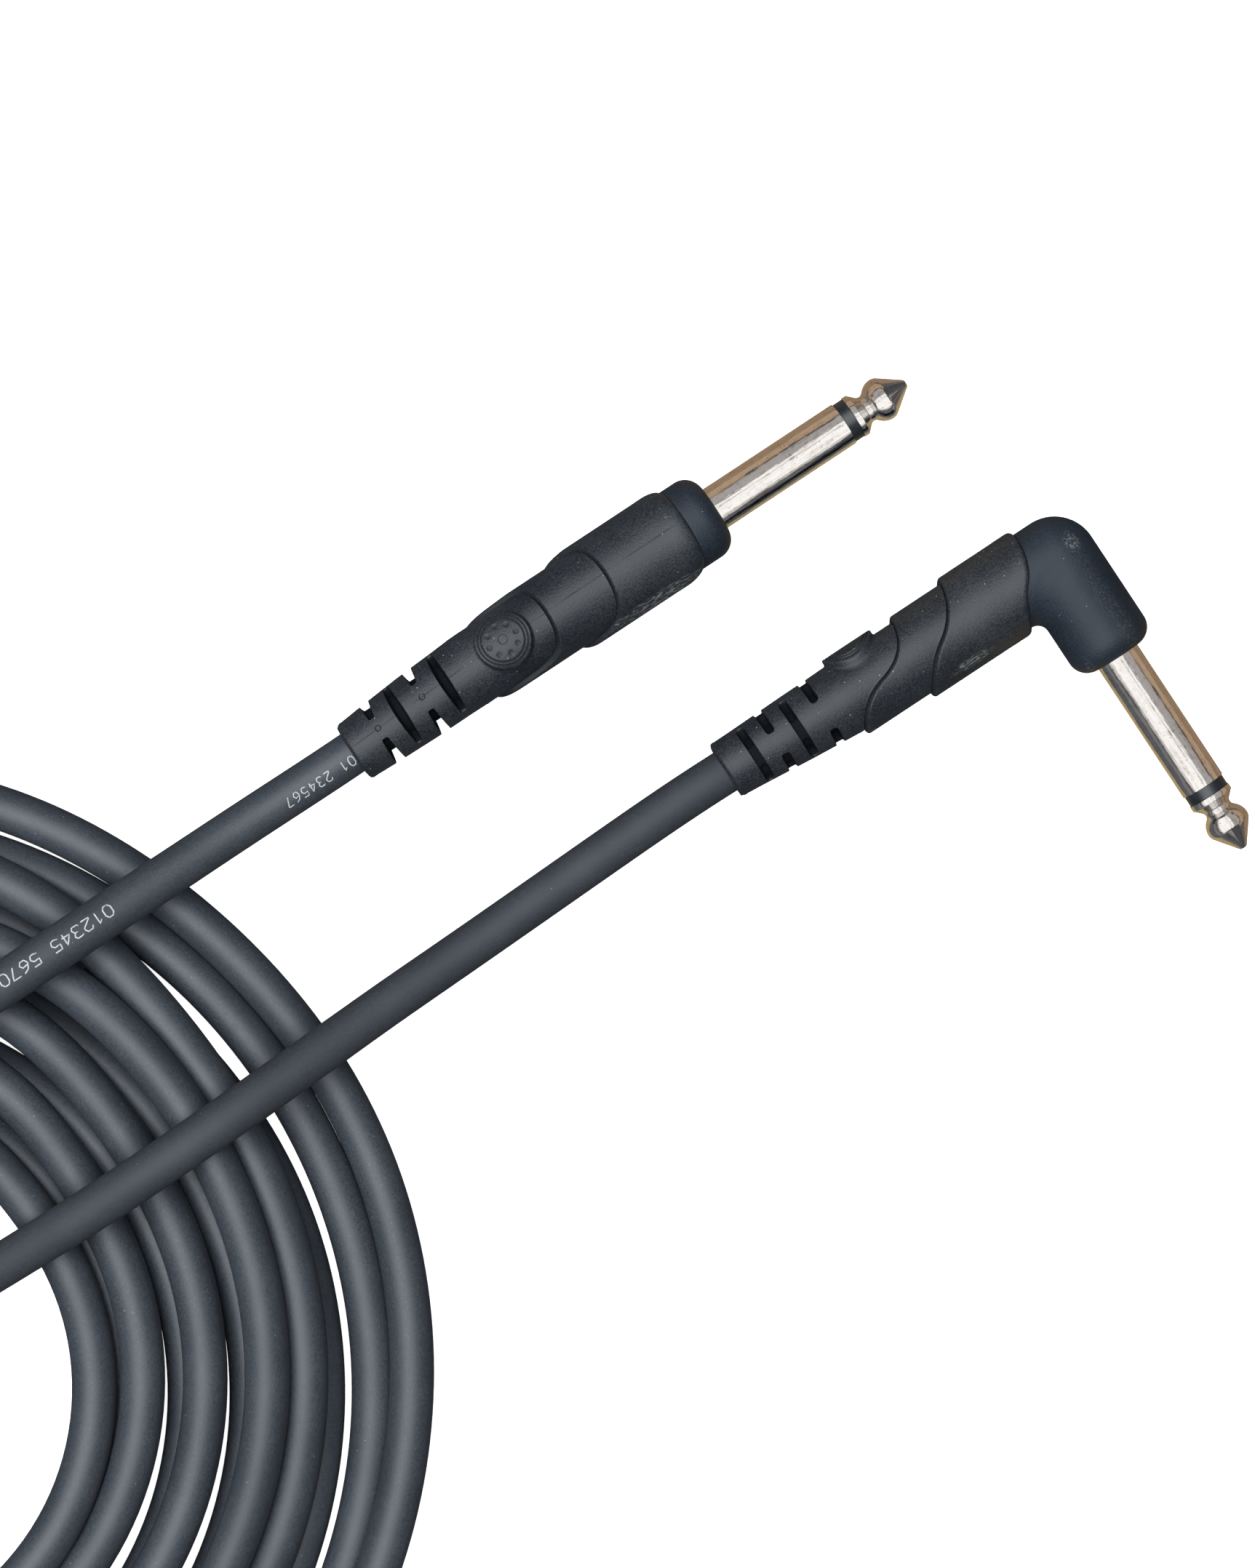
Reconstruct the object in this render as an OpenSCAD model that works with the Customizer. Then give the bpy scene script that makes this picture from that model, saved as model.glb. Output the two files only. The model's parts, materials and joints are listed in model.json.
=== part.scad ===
// Instrument cable: a straight plug, a right-angle plug and one shielded cord.
// Both plugs lie on the surface z = 0, their bodies along X, the straight pin pointing to +X
// and the angled pin pointing to -Y. All sizes are in millimetres.

/* [Pin] */
// Diameter of the plated sleeve
sleeve_d = 6.35; // [6:0.05:6.6]
// Length of the sleeve outside the moulding
sleeve_len = 21.45; // [18:0.05:24]
// Width of the insulating ring between sleeve and tip
ring_w = 1.5; // [1:0.1:2.5]
// Diameter of the insulating ring
ring_d = 6.0; // [5.6:0.05:6.2]
// Width of the tip's rear flange
tip_flange_w = 0.9; // [0.6:0.05:1.4]
// Diameter of the tip's rear flange
tip_flange_d = 6.24; // [6:0.02:6.3]
// Diameter at the bottom of the tip's groove
neck_d = 3.92; // [3.2:0.02:4.4]
// Radius at the bottom of the groove
neck_r = 0.76; // [0.5:0.02:1]
// Largest diameter of the tip's head
head_d = 6.3; // [6:0.02:6.32]
// Radius of the head's crest towards the groove
head_back_r = 2.4; // [2:0.05:2.6]
// Radius of the head's crest towards the point
head_front_r = 1.5; // [1.2:0.05:2]
// Half angle of the pointed end
cone_angle = 36.8; // [34:0.1:40]
// Length of the pointed end past the crest
nose_len = 4.05; // [3.6:0.05:4.2]
// Diameter of the centre rod behind the tip
rod_d = 2.5; // [2:0.1:3]
// Outer diameter of the insulating tube round the rod
rod_tube_d = 4.0; // [3.4:0.1:4.6]
// Diameter of the sleeve's rear flange
sleeve_flange_d = 8.0; // [7.6:0.1:8.4]
// Depth of that flange's front face behind the moulding's face
sleeve_flange_depth = 1.0; // [0.6:0.1:1.6]
// Thickness of the sleeve's rear flange
sleeve_flange_t = 1.2; // [0.8:0.1:1.6]
// Diameter of the sleeve's retaining groove, in front of that flange
sleeve_groove_d = 5.8; // [5.2:0.1:6]

/* [Terminals] */
// Sheet thickness of both solder lugs
lug_t = 0.5; // [0.4:0.05:0.6]
// Outer diameter of the ground lug's ring
ground_lug_d = 7.6; // [7.5:0.1:7.9]
// Width of the ground lug's strap
ground_strap_w = 3.2; // [2.4:0.1:3.6]
// Length of the crimp on the jacket
crimp_len = 2.5; // [2:0.1:3]
// Wall of the crimp
crimp_t = 0.55; // [0.4:0.05:0.65]
// Gap between the crimp's two ends
crimp_mouth = 1.2; // [0.6:0.1:2]
// Diameter of the rear insulating washer
washer_d = 5.3; // [4.8:0.1:5.6]
// Thickness of the rear insulating washer
washer_t = 1.0; // [0.8:0.1:1.4]
// Outer diameter of the tip lug's ring
tip_lug_d = 4.8; // [4.6:0.1:5]
// Width of the tip lug's tongue
tip_tongue_w = 1.6; // [1.2:0.1:1.8]
// Diameter of the rod's riveted head
rivet_d = 3.8; // [3.4:0.1:3.8]
// Height of the rod's riveted head
rivet_h = 0.6; // [0.4:0.1:1]
// Diameter of a solder joint
solder_d = 2.1; // [1.8:0.1:2.2]

/* [Cord] */
// Outside diameter of the cord
cord_d = 6.2; // [6:0.1:6.4]
// Wall of the jacket
jacket_wall = 0.75; // [0.6:0.05:0.9]
// Thickness of the braided shield
shield_t = 0.3; // [0.2:0.05:0.4]
// Thickness of the conductive layer under the shield
screen_t = 0.45; // [0.3:0.05:0.5]
// Diameter of the stranded conductor
conductor_d = 0.9; // [0.7:0.05:1]
// Diameter of the twisted shield tail
tail_d = 1.0; // [0.8:0.05:1.1]

/* [Moulding] */
// Diameter of the collar, the elbow's legs and the collar's rim
collar_d = 12.2; // [11.6:0.1:12.8]
// Radius of the rounded rim round the pin
rim_r = 2.8; // [2:0.1:2.9]
// Diameter of the inner moulding under the grip
core_d = 9.2; // [8.9:0.1:9.6]
// Diameter of the grip's widest band
main_d = 13.7; // [13.2:0.1:14.2]
// Diameter of the grip's middle band
mid_d = 12.1; // [11.6:0.1:12.6]
// Diameter of the grip round the emblem boss
zone_d = 10.5; // [10.2:0.1:10.8]
// Diameter of the bend relief at the cord
mouth_d = 8.8; // [8.6:0.1:9.4]
// Radius of the corner where the cord leaves
mouth_r = 0.7; // [0.4:0.1:0.9]
// Softness of the wavy steps, as a share of the band's radius
wave_softness = 0.46; // [0.36:0.02:0.6]
// Air between a moulding and what it is moulded round
mould_gap = 0.02; // [0.01:0.01:0.04]

/* [Emblem boss] */
// Diameter of the round boss
boss_d = 8.0; // [7:0.1:8.4]
// Height of the boss above the grip
boss_h = 0.9; // [0.5:0.05:1.2]
// Mean diameter of the groove inside the rim
boss_groove_d = 6.9; // [6.2:0.1:7]
// Width of that groove
boss_groove_w = 0.4; // [0.2:0.05:0.6]
// Depth of the groove and of the dimples
boss_cut = 0.3; // [0.15:0.05:0.45]
// Number of dimples in a ring round the middle one
boss_dimples = 8; // [5:1:9]
// Diameter of a dimple
boss_dimple_d = 0.9; // [0.6:0.1:1.1]
// Diameter of the middle dimple
boss_middle_d = 1.3; // [0.8:0.1:1.8]
// Diameter of the ring of dimples
boss_dimple_ring_d = 4.3; // [3.8:0.1:4.8]

/* [Bend relief] */
// Width of a slot at the surface
slot_w = 1.5; // [1.2:0.1:1.8]
// Width of a slot at its floor
slot_floor_w = 0.9; // [0.7:0.1:1.1]
// Skin left over the cord under a slot
slot_skin = 0.2; // [0.1:0.05:0.3]
// Half of the angle that a slot covers
slot_half_angle = 67; // [58:1:72]
// Half of the angle of the rib in each slot of the angled plug
rib_half_angle = 18; // [12:1:24]
// Depth of that rib's top below the surface
rib_drop = 0.25; // [0.15:0.05:0.4]

/* [Straight plug] */
// Length of the body, from the moulding's face to the cord's mouth
straight_len = 59.85; // [58:0.05:64]
// Seam of collar and grip behind the face, on the boss's side
straight_seam_top = 4.4; // [4:0.1:5.2]
// The same seam on the far side
straight_seam_back = 7.0; // [6:0.1:8]
// Front wavy step behind the face, on the boss's side
straight_step_b_top = 17.8; // [16:0.1:19]
// Front wavy step on the far side
straight_step_b_back = 26.3; // [24:0.1:28]
// Rear wavy step behind the face, on the boss's side
straight_step_a_top = 27.5; // [26.5:0.1:28.5]
// Rear wavy step on the far side
straight_step_a_back = 39.5; // [38:0.1:41]
// Middle of the boss behind the face
straight_boss_x = 34.5; // [33:0.1:35.5]
// First slot behind the face
straight_slot_x = 44.4; // [43.6:0.1:45.4]
// Turn of the grip about its axis
straight_roll = -7; // [-12:1:12]

/* [Angled plug] */
// Length of the body, from the pin's axis to the cord's mouth
angled_len = 53.6; // [52:0.05:57]
// Distance from the body's axis to the face round the pin
angled_drop = 16.05; // [15:0.05:18]
// Seam of elbow and grip behind the pin's axis, on the boss's side
angled_seam_top = 3.0; // [2.6:0.1:3.6]
// The same seam on the far side
angled_seam_back = 8.05; // [7.4:0.05:9]
// Front wavy step behind the pin's axis, on the boss's side
angled_step_b_top = 15.1; // [13.5:0.1:16.5]
// Front wavy step on the far side
angled_step_b_back = 24.4; // [22:0.1:25.5]
// Rear wavy step behind the pin's axis, on the boss's side
angled_step_a_top = 23.6; // [22.6:0.1:24.6]
// Rear wavy step on the far side
angled_step_a_back = 34.9; // [33:0.1:36]
// Middle of the boss behind the pin's axis
angled_boss_x = 30.75; // [29.5:0.05:31.5]
// First slot behind the pin's axis
angled_slot_x = 38.2; // [37.4:0.1:39.2]
// Turn of the grip about its axis
angled_roll = 6; // [-12:1:12]

/* [Layout] */
// Distance of the angled pin's axis in front of the straight plug's face
angled_ahead = 35.4; // [30:0.1:60]
// Distance between the axes of the two bodies
plugs_apart = 31.9; // [24:0.1:60]
// Middle of the cord's coil along X
coil_x = -162; // [-200:1:-150]
// Middle of the cord's coil along Y
coil_y = 4; // [-10:1:10]

/* [Hidden] */
$fn = 96;

// Colours of the materials
nickel_colour = [0.78, 0.76, 0.72];
brass_colour = [0.80, 0.66, 0.36];
copper_colour = [0.78, 0.48, 0.32];
solder_colour = [0.70, 0.71, 0.73];
black_colour = [0.13, 0.135, 0.15];
cord_colour = [0.17, 0.18, 0.20];
screen_colour = [0.22, 0.22, 0.22];
white_colour = [0.93, 0.92, 0.88];

// Places along the pin, in its own frame: x = 0 is the moulding's face, +x leads to the tip
ring_end = sleeve_len + ring_w;
flange_end = ring_end + tip_flange_w;
flange_slope = 45; // slope of both sides of the groove
sleeve_flange_rear = -sleeve_flange_depth - sleeve_flange_t;
ground_rear = sleeve_flange_rear - lug_t;
washer_rear = ground_rear - washer_t;
tip_lug_rear = washer_rear - lug_t;

// The groove and the head of the tip: the slopes meet their arcs as tangents
edge_break = 0.12; // broken edge of the flange and the point
nose_flat = 0.7; // how much of the cone's end stays flat
slope_start_r = tip_flange_d / 2 - edge_break;
neck_x = flange_end + slope_start_r - (neck_d / 2 + neck_r * (1 - cos(flange_slope)))
    + neck_r * sin(flange_slope);
slope_drop = head_d / 2 - neck_d / 2
    - (neck_r + head_back_r) * (1 - cos(flange_slope));
head_x = neck_x + (neck_r + head_back_r) * sin(flange_slope) + slope_drop;
pin_len = head_x + nose_len;

// The lugs' heights above and below the pin's axis
joint_film = 0.2; // thickness of solder between a lug and its wire
tongue_high = rivet_d / 2 + 0.05;
tongue_low = conductor_d / 2 + joint_film;
tongue_jog = 1.8; // length of the high part behind the rivet
strap_top = -cord_d / 2 - 0.1;
tongue_past = 1.2; // how far a tongue runs past the middle of its joint

// Where the cord's layers end, in front of the jacket's end
shield_bare = 1.5;
insulation_bare = 3.5;
conductor_bare = 7.3;
core_cover = 5.5; // length of inner moulding behind the jacket's end
crimp_back = 0.5; // distance of the crimp from the jacket's end

// Diameters of the cord's layers
shield_d = cord_d - 2 * jacket_wall;
screen_d = shield_d - 2 * shield_t;
insulation_d = screen_d - 2 * screen_t;
bore_d = cord_d + 2 * mould_gap;
tail_z = strap_top + tail_d / 2 + joint_film;

// The jacket's end in each plug
joint_at = conductor_bare - 1.3; // the conductor's joint, from the jacket's end
wire_room = 2.4; // from the rivet to the conductor's end
straight_jacket_x = tip_lug_rear - rivet_h - wire_room - conductor_bare;
angled_jacket_x = -joint_at;

// Slots: four stations, alternately across and along the boss's direction
slot_step = 3.72;
slot_taper_x = 3.0; // the taper towards the mouth starts this far ahead of the first slot
rib_lap = 1; // degrees by which the cut over a rib runs into the cuts beside it
pit_d = 0.9;
pit_depth = 0.15;

// The origin is the middle of the two plugs' box, on the surface
box_x0 = -straight_len;
box_x1 = max(pin_len, angled_ahead + collar_d / 2);
box_y0 = -plugs_apart - angled_drop - pin_len;
box_y1 = main_d / 2;
axis_z = main_d / 2;
face_x = -(box_x0 + box_x1) / 2;
straight_y = -(box_y0 + box_y1) / 2;
elbow_x = face_x + angled_ahead;
angled_y = straight_y - plugs_apart;
far = 80; // larger than any plug
over = 1; // how far a cut runs past what it cuts
lap = 0.5; // overlap of shapes joined into one piece

// Route of the cord from the straight plug's mouth up over the coil and into its top turn
straight_route = concat([[face_x - straight_len, straight_y, axis_z]], [
    [-58, 36.4, 6.9], [-66, 36.2, 7.8], [-74, 35.9, 9.8], [-82, 35.6, 12.6], [-90, 35.4, 15.6],
    [-98, 35.2, 18.2], [-106, 35.1, 19.6], [-114, 35.1, 19.4], [-124, 35.4, 17.6],
    [-136, 36.0, 14.8], [-149, 36.4, 12.2], [-162, 36.5, 10.2], [-176, 35.0, 8.8],
    [-188, 30.0, 8.0],
]);

// Route from the angled plug's mouth over the coil, down into its hollow and round to the
// first turn on the surface
angled_route = concat([[elbow_x - angled_len, angled_y, axis_z]], [
    [-18, 4.5, 6.7], [-30, 4.4, 6.0], [-44, 4.2, 5.4], [-56, 4.0, 6.4], [-66, 3.9, 9.0],
    [-75, 3.7, 12.6], [-84, 3.5, 16.4], [-92, 3.3, 19.2], [-100, 3.1, 20.2], [-108, 3.0, 19.4],
    [-117, 3.0, 17.0], [-127, 3.2, 13.6], [-138, 3.5, 9.8], [-149, 4.2, 6.4],
    [-160, 6.2, 4.2], [-169, 11.2, 3.3], [-174, 19.2, 3.1], [-174, 28.4, 3.1], [-169, 36.2, 3.1],
    [-160, 41.2, 3.1], [-149, 42.6, 3.1],
]);
route_sides = 10;

// Lanes of the coil's turns in section: distance from its middle and height
lane_low = cord_d / 2;
coil_lanes = [
    [39.5, 7.8], [43.5, lane_low], [47.5, 7.6], [52, lane_low], [56, 7.6], [60.5, lane_low],
    [64.5, 12.0], [69.5, lane_low], [70.5, 9.3], [76.9, lane_low], [83.4, lane_low],
];

// ---------- helpers ----------

// Turns an outline of [radius, x] about the X axis
module turned(angle = 360) {
    rotate([0, 90, 0]) rotate_extrude(angle = angle) children();
}

module rod_x(d, x0, x1) {
    translate([x0, 0, 0]) rotate([0, 90, 0]) cylinder(d = d, h = x1 - x0);
}

module tube_x(d_out, d_in, x0, x1) {
    difference() {
        rod_x(d_out, x0, x1);
        rod_x(d_in, x0 - over, x1 + over);
    }
}

module block(x0, x1, w, z0, z1) {
    translate([x0, -w / 2, z0]) cube([x1 - x0, w, z1 - z0]);
}

function arc(cx, cy, r, a0, a1, n = 8) =
    [for (i = [0:n]) let (a = a0 + (a1 - a0) * i / n) [cy + r * sin(a), cx + r * cos(a)]];

module place_straight() {
    translate([face_x, straight_y, axis_z]) children();
}

module place_angled_pin() {
    translate([elbow_x, angled_y - angled_drop, axis_z]) rotate([0, 0, -90]) children();
}

module place_angled_body() {
    translate([elbow_x, angled_y, axis_z]) children();
}

// ---------- pin ----------

// Half outline of the tip, as [radius, x]
function tip_outline() = concat(
    [[0, ring_end], [tip_flange_d / 2 - edge_break, ring_end],
        [tip_flange_d / 2, ring_end + edge_break], [tip_flange_d / 2, flange_end - edge_break],
        [slope_start_r, flange_end]],
    arc(neck_x, neck_d / 2 + neck_r, neck_r, -90 - flange_slope, -90 + flange_slope),
    arc(head_x, head_d / 2 - head_back_r, head_back_r, 90 + flange_slope, 90),
    arc(head_x, head_d / 2 - head_front_r, head_front_r, 90, 90 - cone_angle),
    [[nose_r(edge_break), pin_len - edge_break], [nose_flat * nose_r(0), pin_len], [0, pin_len]]
);

// Radius of the pointed end at a distance back from its very end
function nose_r(back) = head_d / 2 - head_front_r * (1 - cos(cone_angle))
    - (nose_len - head_front_r * sin(cone_angle) - back) * tan(cone_angle);

module pin_tip() {
    color(nickel_colour) {
        turned() polygon(tip_outline());
        rod_x(rod_d, tip_lug_rear - rivet_h, ring_end + lap);
        rod_x(rivet_d, tip_lug_rear - rivet_h, tip_lug_rear);
    }
}

module pin_tip_insulator() {
    color(black_colour) difference() {
        union() {
            rod_x(ring_d, sleeve_len, ring_end);
            rod_x(rod_tube_d, ground_rear, sleeve_len + lap);
        }
        rod_x(rod_d, ground_rear - over, ring_end + over);
    }
}

module pin_sleeve() {
    color(nickel_colour) difference() {
        union() {
            rod_x(sleeve_d, 0, sleeve_len);
            rod_x(sleeve_groove_d, sleeve_flange_rear, sleeve_len);
            rod_x(sleeve_flange_d, sleeve_flange_rear, -sleeve_flange_depth);
        }
        rod_x(rod_tube_d, sleeve_flange_rear - over, sleeve_len + over);
    }
}

module pin_rear_washer() {
    color(black_colour) tube_x(washer_d, rod_d, washer_rear, ground_rear);
}

// Tip lug with a jogged tongue; its flat end lies on the conductor
module tip_lug(tongue_end) {
    jog_x = tip_lug_rear - tongue_jog;
    color(brass_colour) {
        tube_x(tip_lug_d, rod_d, tip_lug_rear, washer_rear);
        tip_tongue(tongue_end, jog_x, 0);
    }
}

module tip_tongue(tongue_end, jog_x, grow) {
    w = tip_tongue_w + 2 * grow;
    block(jog_x - lug_t - grow, tip_lug_rear + lug_t, w, tongue_high - grow, tongue_high + lug_t + grow);
    block(jog_x - lug_t - grow, jog_x + grow, w, tongue_low - grow, tongue_high + lug_t + grow);
    block(tongue_end - grow, jog_x + grow, w, tongue_low - grow, tongue_low + lug_t + grow);
}

module ground_ring() {
    tube_x(ground_lug_d, rod_tube_d, ground_rear, sleeve_flange_rear);
}

module ground_strap(strap_end, grow) {
    block(strap_end - grow, sleeve_flange_rear, ground_strap_w + 2 * grow,
        strap_top - lug_t - grow, strap_top + grow);
}

// Open crimp round the jacket, x is its end nearest the mouth
module crimp(x, grow) {
    difference() {
        rod_x(cord_d + 2 * (mould_gap + crimp_t + grow), x - grow, x + crimp_len + grow);
        rod_x(cord_d + 2 * (mould_gap - grow), x - over, x + crimp_len + over);
        if (grow == 0)
            block(x - over, x + crimp_len + over, crimp_mouth, 0, cord_d);
    }
}

// Everything of the pin that a moulding encloses
module pin_pocket(tongue_end, strap_end) {
    g = mould_gap;
    rod_x(sleeve_groove_d + 2 * g, ground_rear, far);
    rod_x(sleeve_flange_d + 2 * g, sleeve_flange_rear, -sleeve_flange_depth + g);
    rod_x(ground_lug_d + 2 * g, ground_rear - g, sleeve_flange_rear);
    rod_x(washer_d + 2 * g, washer_rear - g, ground_rear);
    rod_x(tip_lug_d + 2 * g, tip_lug_rear - g, washer_rear);
    rod_x(rivet_d + 2 * g, tip_lug_rear - rivet_h - g, tip_lug_rear);
    tip_tongue(tongue_end, tip_lug_rear - tongue_jog, g);
    ground_strap(strap_end, g);
}

// ---------- cord's layers, x = 0 at the jacket's end, -x leads to the mouth ----------

module shield_tail(grow) {
    translate([0, 0, tail_z])
        rod_x(tail_d + 2 * grow, shield_bare / 3, tail_joint_x + lap + grow);
}

module layers_pocket(x_mouth) {
    g = mould_gap;
    rod_x(cord_d + 2 * g, x_mouth, g);
    rod_x(shield_d + 2 * g, -over, shield_bare + g);
    rod_x(insulation_d + 2 * g, 0, insulation_bare + g);
    rod_x(conductor_d + 2 * g, 0, conductor_bare + g);
    shield_tail(g);
}

module jacket_end(x_mouth) {
    color(cord_colour) tube_x(cord_d, shield_d, x_mouth, 0);
}

module shield_end(x_mouth) {
    color(copper_colour) difference() {
        union() {
            rod_x(shield_d, x_mouth, shield_bare);
            shield_tail(0);
        }
        rod_x(screen_d, x_mouth - over, conductor_bare);
    }
}

module screen_end(x_mouth) {
    color(screen_colour) tube_x(screen_d, insulation_d, x_mouth, shield_bare);
}

module core_insulation(x_mouth) {
    color(white_colour) tube_x(insulation_d, conductor_d, x_mouth, insulation_bare);
}

module conductor_end(x_mouth) {
    color(copper_colour) rod_x(conductor_d, x_mouth, conductor_bare);
}

// Place of the tail's joint from the jacket's end
tail_joint_x = conductor_bare - 2.9;
tail_bead_d = 1.7 * tail_d;

// A bead of solder round a wire
module bead(x, z, d, len) {
    translate([x, 0, z]) turned()
        polygon([[0, -len / 2], [0.36 * d, -len / 2], [d / 2, -0.15 * len],
            [d / 2, 0.15 * len], [0.36 * d, len / 2], [0, len / 2]]);
}

// Both beads, from the conductor's joint and the jacket's end; each ends flat at its lug
module joint_beads(joint_x, jacket_x, grow) {
    difference() {
        bead(joint_x, 0, solder_d + 2 * grow, solder_d + 2 * grow);
        block(-far, far, far, tongue_low + grow, far);
    }
    difference() {
        bead(jacket_x + tail_joint_x, tail_z, tail_bead_d + 2 * grow, tail_bead_d + 2 * grow);
        block(-far, far, far, -far, strap_top - grow);
    }
}

module solder_joints(joint_x, jacket_x) {
    color(solder_colour) difference() {
        joint_beads(joint_x, jacket_x, 0);
        translate([jacket_x, 0, 0]) {
            rod_x(conductor_d, 0, conductor_bare);
            shield_tail(0);
        }
    }
}

// ---------- grip ----------

// Height above the axis to place along it: flat at both ends, steep between
function wave_s(u) = 1 / (1 + exp(-2 * u / wave_softness));
function wave(u) = (wave_s(u) - wave_s(-1)) / (wave_s(1) - wave_s(-1));

// Everything in front of a wavy line that starts at `back` behind and `top` on the boss's side
module ahead_of(top, back, r, shift = 0) {
    steps = 24;
    line = [for (i = [0:steps]) let (u = -1 + 2 * i / steps)
        [-back + (back - top) * wave(u) + shift, u * r]];
    rotate([90, 0, 0]) linear_extrude(height = 2 * far, center = true)
        polygon(concat([[far, -far], [-back + shift, -far]], line,
            [[-top + shift, far], [far, far]]));
}

module band(d, top, back, mouth_x) {
    intersection() {
        rod_x(d, mouth_x, 0);
        ahead_of(top, back, d / 2);
    }
}

// Outline of the tapered bend relief and the zone under the boss
module relief_outline(len, slot_x) {
    difference() {
        union() {
            polygon([[0, -len], [mouth_d / 2 - mouth_r, -len], [mouth_d / 2, -len + mouth_r],
                [zone_d / 2, -slot_x + slot_taper_x], [zone_d / 2, 0], [0, 0]]);
            translate([mouth_d / 2 - mouth_r, -len + mouth_r]) circle(r = mouth_r);
        }
        translate([-far, -2 * far]) square([far, 3 * far]);
    }
}

// One slot round the axis, its middle at the turn `about`
module slot(x, about, from, to, floor_r) {
    top_r = zone_d / 2 + over;
    flank = (slot_w - slot_floor_w) / (zone_d - cord_d) * (top_r - floor_r);
    rotate([about, 0, 0]) translate([x, 0, 0]) rotate([-90 - to, 0, 0])
        rotate([0, -90, 0]) rotate_extrude(angle = to - from)
            polygon([[floor_r, -slot_floor_w / 2], [top_r, -slot_floor_w / 2 - flank],
                [top_r, slot_floor_w / 2 + flank], [floor_r, slot_floor_w / 2]]);
}

module slots(slot_x, ribbed) {
    floor_r = cord_d / 2 + slot_skin;
    for (i = [0:3], side = [0, 180]) {
        x = -slot_x - i * slot_step;
        about = side + 90 * (i % 2);
        if (ribbed) {
            slot(x, about, -slot_half_angle, -rib_half_angle, floor_r);
            slot(x, about, rib_half_angle, slot_half_angle, floor_r);
            slot(x, about, -rib_half_angle - rib_lap, rib_half_angle + rib_lap, rib_r(i));
        } else {
            slot(x, about, -slot_half_angle, slot_half_angle, floor_r);
        }
    }
}

// Radius of the relief's surface at a slot, less the rib's drop
function rib_r(i) = let (
    run = angled_len - mouth_r - angled_slot_x + slot_taper_x,
    share = (i * slot_step + slot_taper_x) / run
) zone_d / 2 + (mouth_d - zone_d) / 2 * share - rib_drop;

// What stands above the grip inside a round outline about the boss's axis
module on_boss(boss_x, d, floor_h, top_h) {
    intersection() {
        translate([-boss_x, 0, 0]) cylinder(d = d, h = far);
        tube_x(zone_d + 2 * top_h, zone_d + 2 * floor_h, -boss_x - far / 4, -boss_x + far / 4);
    }
}

module boss(boss_x) {
    difference() {
        on_boss(boss_x, boss_d, -lap, boss_h);
        difference() {
            on_boss(boss_x, boss_groove_d + boss_groove_w, boss_h - boss_cut, boss_h + over);
            translate([-boss_x, 0, 0])
                cylinder(d = boss_groove_d - boss_groove_w, h = 2 * far);
        }
        on_boss(boss_x, boss_middle_d, boss_h - boss_cut, boss_h + over);
        for (i = [0:boss_dimples - 1])
            translate([boss_dimple_ring_d / 2 * cos(i * 360 / boss_dimples),
                boss_dimple_ring_d / 2 * sin(i * 360 / boss_dimples), 0])
                    dimple(boss_x);
    }
}

// A dimple shallow enough to stay open at the boss's curved edge
module dimple(boss_x) {
    translate([-boss_x, 0, zone_d / 2 + boss_h - 2 * boss_cut])
        cylinder(d = boss_dimple_d, h = far);
}

// Two small moulding pits on the boss's side, at the slots that lie across it
module pits(slot_x) {
    for (i = [1, 3])
        translate([-slot_x - i * slot_step, 0, mouth_d / 2 - pit_depth])
            cylinder(d = pit_d, h = far);
}

// The outer moulding, in front of its mouth; x = 0 is the face or the pin's axis
module grip(len, seam, step_b, step_a, boss_x, slot_x, core_end, ribbed) {
    color(black_colour) difference() {
        union() {
            turned() relief_outline(len, slot_x);
            band(mid_d, step_a[0], step_a[1], -len);
            band(main_d, step_b[0], step_b[1], -len);
            boss(boss_x);
        }
        ahead_of(seam[0], seam[1], main_d / 2);
        slots(slot_x, ribbed);
        rod_x(bore_d, -len - over, 0);
        rod_x(core_d + 2 * mould_gap, core_end - mould_gap, far);
    }
}

// Half outline of a leg with its rounded rim, its face at x = 0
module rim_outline(len) {
    intersection() {
        union() {
            translate([0, -len]) square([collar_d / 2, len - rim_r]);
            translate([0, -rim_r - lap]) square([collar_d / 2 - rim_r, rim_r + lap]);
            translate([collar_d / 2 - rim_r, -rim_r]) circle(r = rim_r);
        }
        translate([0, -len]) square([collar_d, len]);
    }
}

// ---------- straight plug ----------

straight_seam = [straight_seam_top, straight_seam_back];
straight_core_end = straight_jacket_x - core_cover;
straight_joint_x = straight_jacket_x + joint_at;
straight_tongue_end = straight_joint_x - tongue_past;
straight_strap_end = straight_jacket_x - crimp_back - crimp_len;

module straight_tip() { place_straight() pin_tip(); }
module straight_tip_insulator() { place_straight() pin_tip_insulator(); }
module straight_sleeve() { place_straight() pin_sleeve(); }
module straight_rear_washer() { place_straight() pin_rear_washer(); }
module straight_tip_lug() { place_straight() tip_lug(straight_tongue_end); }

module straight_ground_lug() {
    place_straight() color(brass_colour) {
        ground_ring();
        ground_strap(straight_strap_end, 0);
        crimp(straight_strap_end, 0);
    }
}

module straight_layers() {
    place_straight() translate([straight_jacket_x, 0, 0]) children();
}
straight_mouth = -straight_len - straight_jacket_x;

module straight_jacket_end() { straight_layers() jacket_end(straight_mouth); }
module straight_shield_end() { straight_layers() shield_end(straight_mouth); }
module straight_screen_end() { straight_layers() screen_end(straight_mouth); }
module straight_core_insulation() { straight_layers() core_insulation(straight_mouth); }
module straight_conductor_end() { straight_layers() conductor_end(straight_mouth); }

module straight_solder_joints() {
    place_straight() solder_joints(straight_joint_x, straight_jacket_x);
}

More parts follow.
